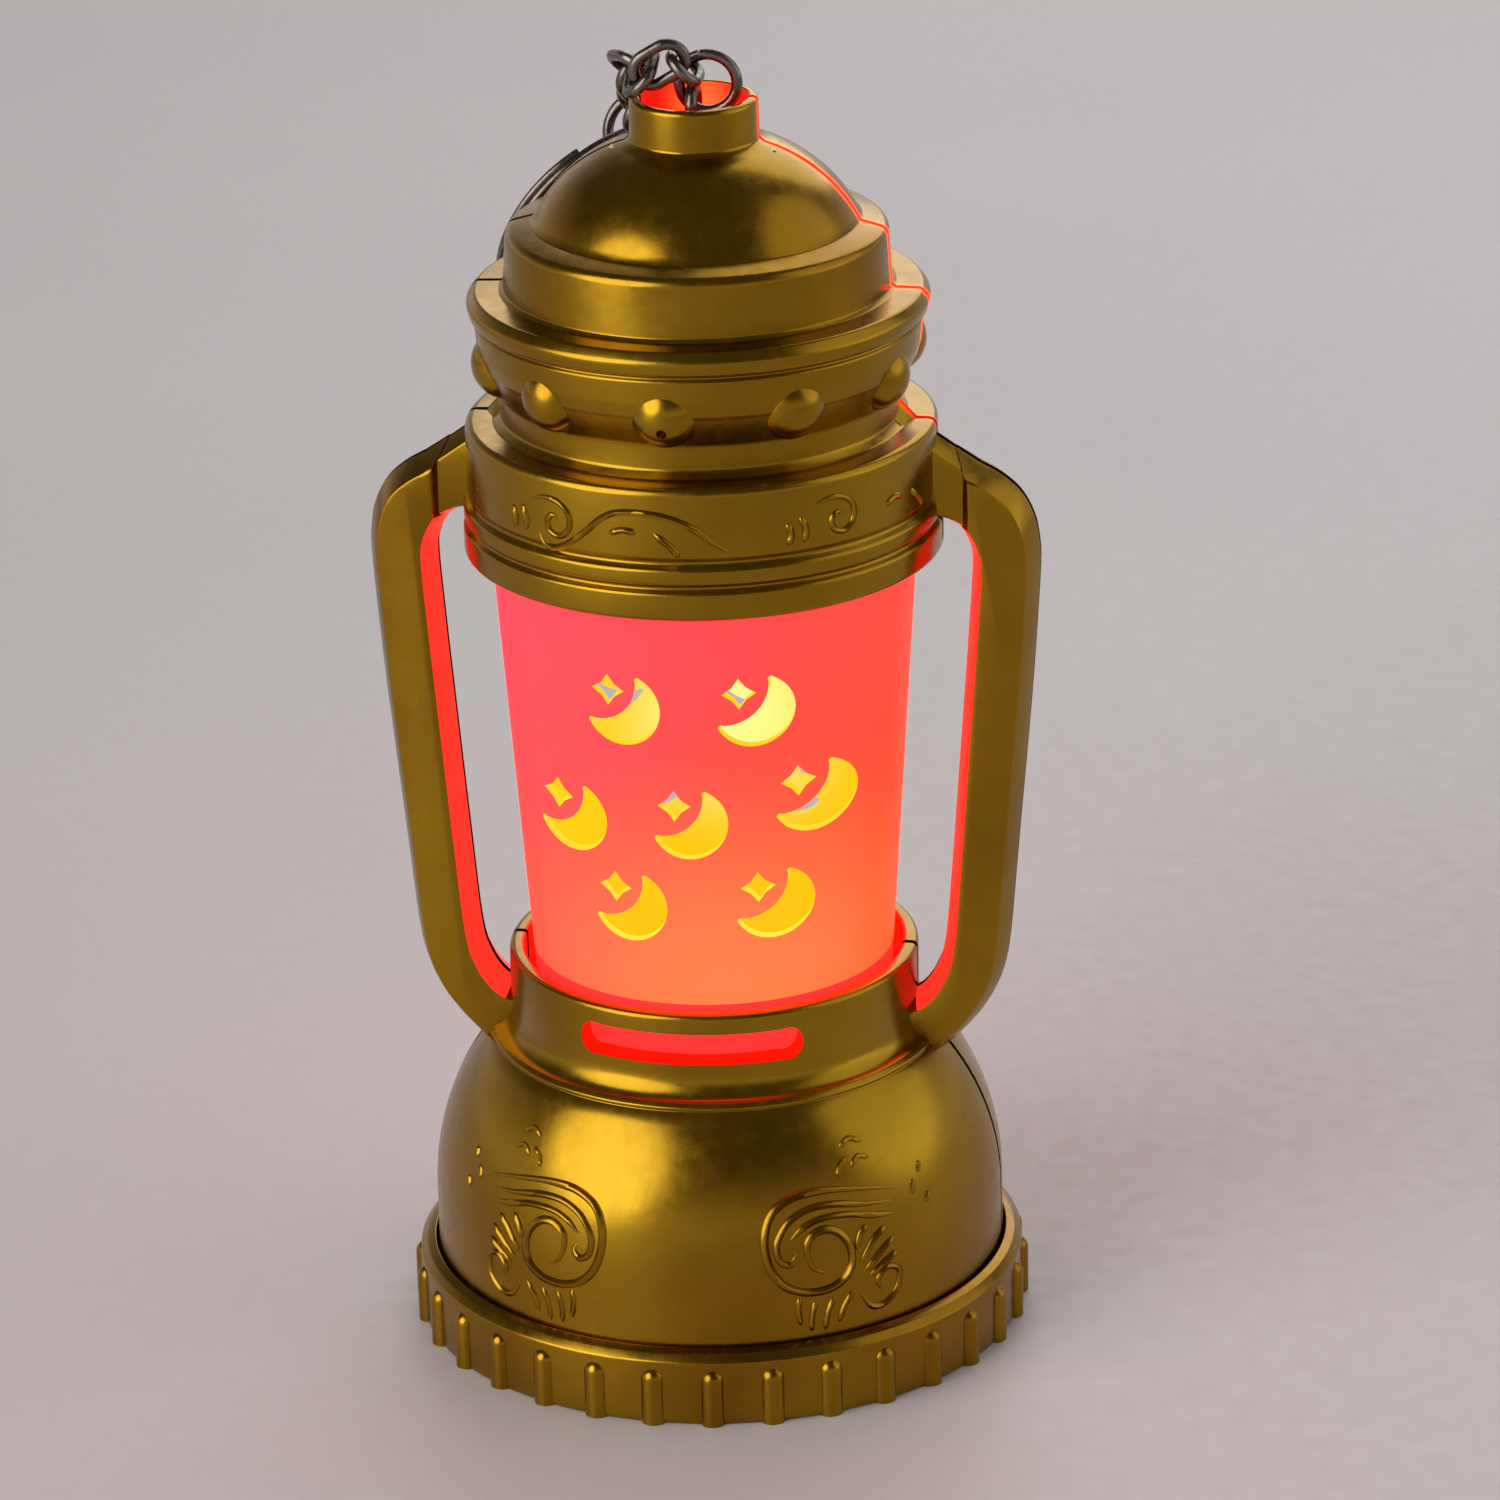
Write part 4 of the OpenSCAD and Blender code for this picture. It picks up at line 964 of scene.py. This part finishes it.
@dataclass
class Ornament:
    """Raised scrolls on the bulb and the vine round the shoulder."""

    bead: float = 0.43
    sink: float = 0.1
    tip_share: float = 0.35
    taper: float = 6
    ring_r: float = 20.6
    vine_starts: Pair = (-31, 41)
    vine_end: float = 80

    def bulb_r(self, z: float) -> float:
        """Radius of the bulb at a height."""
        body = Body()
        return body.bulb_arc_x + sqrt(body.bulb_arc_r ** 2 - max(z - body.bulb_side_z, 0) ** 2)

    def band_r(self, z: float) -> float:
        """Radius of the shoulder's ring, which is the same at every height."""
        return self.ring_r

    def scroll_lines(self) -> list[tuple[Line, float]]:
        """Lines of the scroll on the bulb, as degrees from the front and height, each with its bead."""
        plume = [(-47.3, 18.7), (-41.2, 19.3), (-33.6, 19.9), (-28.1, 20.1), (-23, 19.9), (-18.8, 19),
                 (-16.9, 17.6), (-16.4, 15.8), (-17.6, 13.7), (-20.4, 12.1), (-24.6, 11.3), (-29.3, 11.3),
                 (-32.9, 12.1), (-34.5, 13.5), (-34, 15.2), (-31.5, 16.5), (-28.2, 16.8), (-25.5, 16.1),
                 (-25, 14.8), (-26.2, 13.5), (-28.4, 12.9)]
        second = [(-44.9, 17.8), (-38.7, 18.2), (-31.9, 18.8), (-26.4, 18.8), (-22.3, 18.1), (-20, 17.1),
                  (-18.8, 15.9), (-19.3, 14.6), (-21.2, 14.1), (-22.6, 14.7), (-22, 15.4)]
        third = [(-44.8, 16.7), (-39.8, 17.1), (-34.4, 17.7), (-28.8, 17.8), (-24.8, 17.3), (-21.9, 16.3)]
        leaves = [[(-42.8, 15.8), (-39.6, 14.9), (-36.4, 13)], [(-44.6, 14.6), (-41, 13.6), (-37.4, 12.2)],
                  [(-38.4, 16.4), (-36.6, 15.6), (-35.6, 14.4)], [(-45.2, 13.2), (-42.2, 12.6), (-38.6, 11.6)]]
        curl = [(-36, 10.4), (-38.6, 8.7), (-42, 8.6), (-45, 9.7), (-45.4, 11.4), (-42.4, 12),
                (-40.2, 11), (-41.2, 10)]
        frill = [[(-34.6, 10.6), (-32.6, 9.4), (-31.4, 7.9)], [(-30.4, 10.4), (-29, 9), (-28.4, 7.4)],
                 [(-26.6, 10.4), (-25.7, 9), (-25.6, 7.5)], [(-23.2, 10.9), (-22.9, 9.6), (-23.4, 8.2)]]
        sprig = [[(-41.2, 23.1), (-38.4, 23.6), (-35.6, 23.1)], [(-42, 21.8), (-39.4, 22.1), (-37.2, 21.4)],
                 [(-36.6, 22.3), (-34.4, 21.6), (-33.8, 20.9)], [(-51.6, 18.9), (-50.8, 17.6)],
                 [(-54.6, 20.1), (-53.4, 19.2)], [(-55.2, 17.4), (-54.2, 16.4)]]
        lines = [(plume, 1), (second, 0.85), (third, 0.8), (curl, 0.8)]
        lines += [(leaf, 0.85) for leaf in leaves] + [(line, 0.7) for line in frill + sprig]
        return lines

    def vine_lines(self) -> list[tuple[Line, float]]:
        """Lines of one repeat of the vine, as degrees from its middle and height, each with its bead."""
        stem = [(-4, 79), (-2.6, 78.2), (0.2, 78), (4.6, 78.6), (9.6, 80), (14, 81.4), (18, 82.1),
                (24, 82.2), (30, 81.9), (36, 81), (41, 79.6), (45, 78.6)]
        spiral = [(-6.4, 81.9), (-2, 82.4), (2.4, 82.2), (5.2, 81.2), (5, 79.9), (2.4, 79.2), (-0.4, 79.5),
                  (-1.2, 80.4), (0.6, 81), (2.2, 80.5)]
        leaves = [[(16, 80.2), (19.4, 80.6), (22.6, 80.4)], [(27, 80.4), (30.6, 79.4), (33, 78.4)],
                  [(-9.6, 81.2), (-8.2, 80), (-8.8, 78.9)], [(-13, 80.8), (-12, 79.8), (-12.8, 78.8)]]
        return [(stem, 0.8), (spiral, 0.75)] + [(leaf, 0.8) for leaf in leaves]

    def bead_on(self, reach: Callable[[float], float], line: Line, size: float, mirror: int,
                turn: float) -> Thing:
        """One raised bead that thins out at both ends.

        Args:
            reach: Gives the surface's radius at a height.
            line: Points as degrees from the front and height.
            size: Share of the full bead.
            mirror: 1 as drawn or -1 mirrored.
            turn: Degrees added after mirroring.

        Returns:
            The bead.
        """
        smooth = flow(line, 5)
        count = len(smooth) - 1
        tip = self.tip_share
        shares = [tip + (1 - tip) * min(1, self.taper * min(i, count - i) / count) for i in range(count + 1)]
        points = []
        for degree, z in smooth:
            a, radius = radians(mirror * degree + turn), reach(z) - self.sink
            points.append((radius * sin(a), -radius * cos(a), z))
        return strand("bead", points, [self.bead * size * share for share in shares], 1)

    def build(self) -> None:
        """Builds the raised lines in two loose groups, front and back."""
        for side, turn in zip(Side, (0, 180)):
            beads = [self.bead_on(self.bulb_r, line, size, mirror, turn)
                     for mirror in (1, -1) for line, size in self.scroll_lines()]
            beads += [self.bead_on(self.band_r, line, size, 1, turn + start)
                      for start in self.vine_starts for line, size in self.vine_lines()
                      if all(abs(start + a) < self.vine_end for a, z in line)]
            relief = join(*beads)
            relief.name = f"{side.name.lower()}_relief"
            coat(relief, SHELL_MATERIALS[0])
            shade(relief, 60)
            dress(relief, BODY, "gold_shell")


@dataclass
class Diffuser:
    """Milky tapered tube with moon and star cut-outs. Sizes in millimetres."""

    foot_z: float = 27.8
    top_z: float = 76.14
    foot_r: float = 15.6
    split_z: float = 35.3
    top_r: float = 18.9
    wall: float = 1
    skin: float = 0.12
    end_band: float = 0.3
    steps: int = 144
    cut: Pair = (-21, -6.44)
    moon_r: float = 3.4
    bite_r: float = 3.75
    bite_shift_share: float = 0.728
    blunt: float = 9
    star_r: float = 1.45
    star_waist_share: float = 0.58
    places: tuple[Pair, ...] = ((-5.1, 63.3), (6.3, 63.3), (-10.3, 52.1), (0.45, 52.8), (10.95, 54.4),
                                (-5.1, 44.5), (7.4, 44.8))

    def radius(self, z: float) -> float:
        """Outer radius at a height."""
        return self.foot_r + (self.top_r - self.foot_r) * (z - self.foot_z) / (self.top_z - self.foot_z)

    def crescent(self) -> Line:
        """Outline of the moon round its own centre, with round tips."""
        shift = Vector((-1, 1)) * self.moon_r * self.bite_shift_share
        reach = shift.length
        along = (reach ** 2 + self.moon_r ** 2 - self.bite_r ** 2) / (2 * reach)
        open_half = degrees(acos(along / self.moon_r))
        bite_half = degrees(acos((reach - along) / self.bite_r))
        blunt = self.blunt
        outer = arc((0, 0), self.moon_r, 135 + open_half + blunt, 495 - open_half - blunt, 30)
        inner = arc((shift.x, shift.y), self.bite_r, -45 + bite_half - blunt, -45 - bite_half + blunt, 18)
        return outer + bow(outer[-1], inner[0], 0.5, 6)[1:-1] + inner + bow(inner[-1], outer[0], 0.5, 6)[1:-1]

    def star(self) -> Line:
        """Outline of the star beside the moon."""
        centre = Vector((-0.36, 0.48)) * self.moon_r
        points = []
        for i in range(8):
            reach = self.star_r * (1 if i % 2 == 0 else self.star_waist_share)
            turn = radians(45 * i)
            points.append((centre.x + reach * cos(turn), centre.y + reach * sin(turn)))
        return points

    def build(self) -> None:
        """Builds the tube, cuts the motifs through and dresses it."""
        foot_r, top_r = self.foot_r - self.wall, self.top_r - self.wall
        corners = [(foot_r, self.foot_z, 0), (self.foot_r, self.foot_z, 0.2), (self.top_r, self.top_z, 0.2),
                   (top_r, self.top_z, 0.2), (foot_r, self.foot_z, 0)]
        tube = lathe("milky_tube", soften(corners, 3)[:-1], self.steps)
        near, far = self.cut
        motif = join(prism("moon", self.crescent(), near, far), prism("star", self.star(), near, far))
        work(tube, Join.CUT, join(*[copy(motif, about_z(face) @ Matrix.Translation((x * MM, 0, z * MM)))
                                    for face in (0, 180) for x, z in self.places]))
        bpy.data.objects.remove(motif)
        with editing(tube):
            bpy.ops.mesh.bisect(plane_co=(0, 0, self.split_z * MM), plane_no=(0, 0, 1))
        coat(tube, *[finish.make() for finish in (MILK, INNER_MILK, CUT_MILK, FOOT_MILK)])
        for face in tube.data.polygons:
            reach, z = face.center.xy.length / MM, face.center.z / MM
            outside = reach > self.radius(z) - self.skin
            at_end = not self.foot_z + self.end_band < z < self.top_z - self.end_band
            face.material_index = (3 if z < self.split_z and outside else 0 if outside or at_end
                                   else 1 if reach < self.radius(z) - self.wall + self.skin else 2)
        shade(tube)
        dress(tube, BODY, "milky_diffuser", "diffuser")


@dataclass
class BaseCap:
    """Ribbed cap with its floor, openings and posts. Sizes in millimetres."""

    ribs: int = 32
    rib_r: float = 1.1
    rib_tip: float = 27.9
    rib_top: float = 5.3
    rib_steps: int = 5
    bay_x: float = -6
    bay_y: float = 3
    bay_r: float = 6.9
    ear_reach: float = 10
    door_x: float = 0.4
    door_l: float = 29
    door_w: float = 17
    door_screw_x: float = 11.7
    gap: float = 0.2
    steps: int = 160

    def outline(self) -> Line:
        """Wall and floor of the cap."""
        return soften([
            (0, 1, 0), (25.2, 1, 0.4), (25.8, 0, 0.2), (27.3, 0, 0.4), (27.3, 5.95, 0.35), (26.7, 6.55, 0.3),
            (25.9, 6.9, 0.15), (25.8, 6.6, 0.1), (25.8, 3, 0.2), (0, 3, 0)], 4)

    def rib_ring(self) -> Thing:
        """Upright ribs with round heads."""
        reach = self.rib_tip - self.rib_r
        bar = rod("rib", self.rib_r, (reach, 0, 0), (reach, 0, self.rib_top - self.rib_r), 24)
        pick(bar, lambda face: face.normal.z > 0.9)
        with editing(bar, "FACE", keep=True):
            for i in range(self.rib_steps):
                now, after = (pi / 2 * k / (self.rib_steps + 1) for k in (i, i + 1))
                rise = self.rib_r * (sin(after) - sin(now))
                shrink = cos(after) / cos(now)
                bpy.ops.mesh.extrude_region_move(TRANSFORM_OT_translate={"value": (0, 0, rise * MM)})
                bpy.ops.transform.resize(value=(shrink, shrink, 1), center_override=(reach * MM, 0, 0))
        return ring_of(bar, [(i + 0.5) * 360 / self.ribs for i in range(self.ribs)])

    def door_outline(self) -> Line:
        """Rounded plan of the battery door, grown by its clearance."""
        half_l, half_w, corner = self.door_l / 2 + self.gap, self.door_w / 2 + self.gap, 2 + self.gap
        points = []
        for i, (sx, sy) in enumerate(((1, 1), (-1, 1), (-1, -1), (1, -1))):
            centre = (self.door_x + sx * (half_l - corner), self.bay_y + sy * (half_w - corner))
            points += arc(centre, corner, 90 * i, 90 * i + 90, 6)
        return points

    def build(self) -> None:
        """Builds the cap, cuts its openings and dresses it."""
        cap = lathe("ribbed_cap", self.outline(), self.steps)
        ears = [(self.bay_x, self.bay_y + side * self.ear_reach) for side in (-1, 1)]
        posts = [rod("ear post", 2, (x, y, 2), (x, y, 6)) for x, y in ears]
        screw = (self.door_screw_x, self.bay_y)
        posts.append(rod("door post", 2.4, (*screw, 2.5), (*screw, 7)))
        posts += [prism("clamp", box(x * 4.5, x * 5.7, -14.9, -11.1), 2, 5.8, 0.2, upright=False)
                  for x in (-1, 1)]
        work(cap, Join.ADD, self.rib_ring(), *posts)
        holes = [(self.bay_x, self.bay_y, self.bay_r, -1, 4), (*screw, 0.9, 0, 8)]
        holes += [(x, y, 0.75, 3, 7) for x, y in ears]
        for turn in BASE_SCREW_TURNS:
            place = about_z(turn) @ Vector((BASE_SCREW_R, 0, 0))
            holes += [(place.x, place.y, 1.15, -1, 4), (place.x, place.y, 2.1, -1, 2)]
        work(cap, Join.CUT, prism("door recess", self.door_outline(), -1, 2.3, upright=False),
             *[rod("hole", radius, (x, y, low), (x, y, high), 40) for x, y, radius, low, high in holes],
             prism("knob slot", box(-2.3, 2.3, -14.15, -11.85), -1, 4, upright=False))
        coat(cap, CAP_GOLD.make())
        shade(cap, 36)
        dress(cap, BODY, "gold_cap", "base_cap")


@dataclass
class KeyChain:
    """Eye pin, jump ring, eight links, end ring and split ring. Sizes in millimetres.

    Each piece lies in the plane of its frame's first two axes. It hooks on the one before at an
    angle round that piece's end, and swings there by another angle.
    """

    eye_foot_z: float = 105.95
    eye_z: float = 112.098
    coil_r: float = 0.37
    coil_rise: float = 0.74
    coil_turns: float = 1.94
    coil_start: float = 0.55
    coil_step_at: float = 0.86
    coil_step_l: float = 0.22
    coil_steps: int = 160
    play: float = 0.12
    halves: tuple[float, ...] = (0, 0, *[0.8] * 8, 0, 0)
    radii: tuple[float, ...] = (1.7, 2.5, *[1.5] * 8, 2.7, 11)
    holds: tuple[float, ...] = (0.55, *[0.5] * 10, 0.75)
    hooks: tuple[float, ...] = (0, -120, 75, 15, 45, -45, -15, 15, 0, 60, 0)
    swings: tuple[float, ...] = (75, -90, 75, -105, 0, 0, -15, -30, 15, -75, 45)

    def frames(self) -> list[Matrix]:
        """Frame of each piece, from the eye to the split ring, in millimetres."""
        axes = Matrix(((0, 0, 1), (0, -1, 0), (1, 0, 0)))
        centre = Vector((0, 0, self.eye_z))
        frames = [Matrix.Translation(centre) @ axes.to_4x4()]
        for i, (hook, swing) in enumerate(zip(map(radians, self.hooks), map(radians, self.swings))):
            hold = Vector((self.halves[i] + self.radii[i] * cos(hook), self.radii[i] * sin(hook), 0))
            out = Vector((cos(hook) * cos(swing), sin(hook) * cos(swing), sin(swing)))
            across = Vector((-sin(hook), cos(hook), 0))
            shift = (self.halves[i + 1] + self.radii[i + 1]
                     - self.holds[i] - self.holds[i + 1] - self.play)
            centre = centre + axes @ hold + shift * (axes @ out)
            columns = (axes @ out, axes @ out.cross(across), -(axes @ across))
            axes = Matrix(columns).transposed()
            frames.append(Matrix.Translation(centre) @ axes.to_4x4())
        return frames

    def outline(self, index: int, slit: float) -> list[Corner]:
        """Middle line of one ring or link, open at a slit.

        Args:
            index: Which piece.
            slit: Width of the slit in millimetres.

        Returns:
            The points in the piece's own frame.
        """
        radius, half = self.radii[index], self.halves[index]
        gap = 0 if half else degrees(slit / 2 / radius)
        right = arc((half, 0), radius, gap - 90, 90, 16)
        left = arc((-half, 0), radius, 90, 270 - gap, 16)
        line = [(slit / 2, -radius), *right, *left, (-slit / 2, -radius)] if half else right + left[1:]
        return [(x, y, 0) for x, y in line]

    def coil(self) -> list[Corner]:
        """Middle line of the split ring: two turns that lie on each other, with a step between them."""
        points, radius = [], self.radii[-1]
        for i in range(self.coil_steps + 1):
            turns = self.coil_turns * i / self.coil_steps
            share = min(max((turns - self.coil_step_at) / self.coil_step_l, 0), 1)
            level = self.coil_rise * (share * share * (3 - 2 * share) - 0.5)
            angle = 2 * pi * (turns + self.coil_start)
            points.append((radius * cos(angle), radius * sin(angle), level))
        return points

    def build(self) -> None:
        """Builds every piece of the chain and dresses it."""
        nickel = NICKEL.make()
        names = ["eye_pin", "jump_ring", *[f"chain_link_{i + 1}" for i in range(8)], "end_ring", "split_ring"]
        for i, (name, place) in enumerate(zip(names, self.frames())):
            slit = 0.12 if name in ("jump_ring", "end_ring") else 0.05
            line, size, sides = self.outline(i, slit), self.holds[i], 4
            if name == "split_ring":
                line, size, sides = self.coil(), self.coil_r, 3
            piece = strand(f"{name}_wire", line, [size] * len(line), sides)
            place.translation *= MM
            piece.data.transform(place)
            if name == "eye_pin":
                foot = self.eye_foot_z
                piece = join(piece, rod("shank", 0.6, (0, 0, foot), (0, 0, self.eye_z - 1.6), 24),
                             rod("head", 1.4, (0, 0, foot), (0, 0, foot + 1)))
            coat(piece, nickel)
            shade(piece, 50)
            dress(piece, BODY if name == "eye_pin" else name, "chain_nickel", name)


@dataclass
class Inside:
    """Parts that keep their CAD shape: battery bay, light, switch, screws and wires."""

    finishes: dict[str, tuple[Finish, tuple[str, ...]]] = field(default_factory=lambda: {
        "gold_cap": (CAP_GOLD, ("battery_door",)),
        "contact_steel": (CONTACT_STEEL, ("door_contact", "contact_spring", "top_contact", "side_contact")),
        "screw_steel": (SCREW_STEEL, ("door_screw", "base_screws", "holder_screws", "shell_screws")),
        "black_plastic": (BLACK, ("battery_holder", "switch_knob")),
        "cell_steel": (CELL_STEEL, ("button_cell_1", "button_cell_2", "button_cell_3")),
        "board_green": (BOARD, ("led_board",)),
        "lens_clear": (LENS, ("led",)),
        "resistor_body": (CHIP, ("resistor",)),
        "switch_frame": (FRAME_STEEL, ("switch_body",)),
        "red_sleeve": (RED_SLEEVE, ("wire_positive", "wire_switch")),
        "black_sleeve": (BLACK_SLEEVE, ("wire_negative",))})

    def build(self) -> None:
        """Gives each carried-over node its material."""
        for slot, (finish, nodes) in self.finishes.items():
            material = finish.make()
            for name in nodes:
                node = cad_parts[name]
                coat(node, material)
                LOG.info("%s: %s", name, finish.name)


@dataclass
class Studio:
    """Floor, backdrop light and camera. Lengths in metres."""

    floor: float = 3
    distance: float = 0.5782025
    height: float = 0.2771994
    yaw: float = 8
    pitch: float = 0.370154
    pan: float = 0.00620338
    roll: float = -0.0224118
    lens: float = 168
    horizon: Colour = (0.6, 0.57, 0.56)
    zenith: Colour = (0.1, 0.09, 0.09)
    zenith_rise: float = 0.55
    fill: Colour = (0.28, 0.27, 0.28)
    aim: Corner = (0, 0, 0.055)
    lamps: tuple[tuple[str, Corner, float, float], ...] = (
        ("key", (-0.6, -0.6, 0.45), 0.9, 6), ("side", (0.8, 0.1, 0.5), 1, 1.8),
        ("back", (0.1, 0.8, 0.6), 0.9, 3))

    def lay_floor(self) -> None:
        """Lays the pale floor."""
        floor = new("floor", bpy.ops.mesh.primitive_plane_add, size=self.floor, location=(0, 0, 0))
        floor.data.materials.append(FLOOR.make())

    def light(self) -> None:
        """Hangs three soft lamps."""
        for name, place, size, power in self.lamps:
            lamp = new(name, bpy.ops.object.light_add, type="AREA", location=place)
            lamp.data.shape = "DISK"
            lamp.data.size = size
            lamp.data.energy = power
            lamp.rotation_euler = (Vector(self.aim) - Vector(place)).to_track_quat("-Z", "Y").to_euler()

    def set_world(self) -> None:
        """A pale backdrop for the camera, metal and glass, and a dimmer fill for the light."""
        world = bpy.data.worlds.new("studio")
        bpy.context.scene.world = world
        world.use_nodes = True
        tree = world.node_tree
        tree.nodes.clear()
        rays = put(tree, "LightPath", (-900, 300)).outputs
        either = put(tree, "Math", (-700, 300), {0: rays["Is Camera Ray"], 1: rays["Is Glossy Ray"]},
                     operation="MAXIMUM")
        any_of = put(tree, "Math", (-500, 300), {0: either, 1: rays["Is Transmission Ray"]},
                     operation="MAXIMUM")
        way = put(tree, "TexCoord", (-900, -100)).outputs["Generated"]
        height = put(tree, "SeparateXYZ", (-700, -100), {"Vector": way}).outputs["Z"]
        rise = put(tree, "MapRange", (-500, -100), {"Value": height, "From Max": self.zenith_rise},
                   interpolation_type="SMOOTHSTEP")
        sky = put(tree, "Mix", (-300, -100), data_type="RGBA")
        feed(sky, {"Factor": rise, "A": (*self.horizon, 1), "B": (*self.zenith, 1)})
        fill = put(tree, "Background", (-100, 100), {"Color": (*self.fill, 1)})
        seen = put(tree, "Background", (-100, -100), {"Color": sky})
        mix = put(tree, "MixShader", (100, 0), {"Fac": any_of, 1: fill, 2: seen})
        put(tree, "OutputWorld", (300, 0), {"Surface": mix})

    def place_camera(self) -> None:
        """Puts the camera where the photograph was taken from."""
        axes = (Matrix.Rotation(-self.pan, 4, "Z") @ Matrix.Rotation(pi / 2 - self.pitch, 4, "X")
                @ Matrix.Rotation(self.roll, 4, "Z"))
        data = bpy.data.cameras.new("camera")
        data.lens = self.lens
        data.sensor_width = 36
        data.sensor_fit = "HORIZONTAL"
        data.clip_start = 0.01
        camera = bpy.data.objects.new("camera", data)
        bpy.context.scene.collection.objects.link(camera)
        camera.matrix_world = about_z(self.yaw) @ Matrix.Translation((0, -self.distance, self.height)) @ axes
        bpy.context.scene.camera = camera

    def build(self) -> None:
        """Sets up the whole studio."""
        self.lay_floor()
        self.light()
        self.set_world()
        self.place_camera()
        bpy.context.scene.view_settings.view_transform = "Standard"


def main() -> None:
    """Builds the lantern and its studio."""
    logging.basicConfig(level=logging.INFO, format="%(message)s")
    for part in (Body(), Ornament(), Diffuser(), BaseCap(), KeyChain(), Inside(), Studio()):
        LOG.info("building %s", type(part).__name__)
        part.build()


if __name__ == "__main__":
    main()
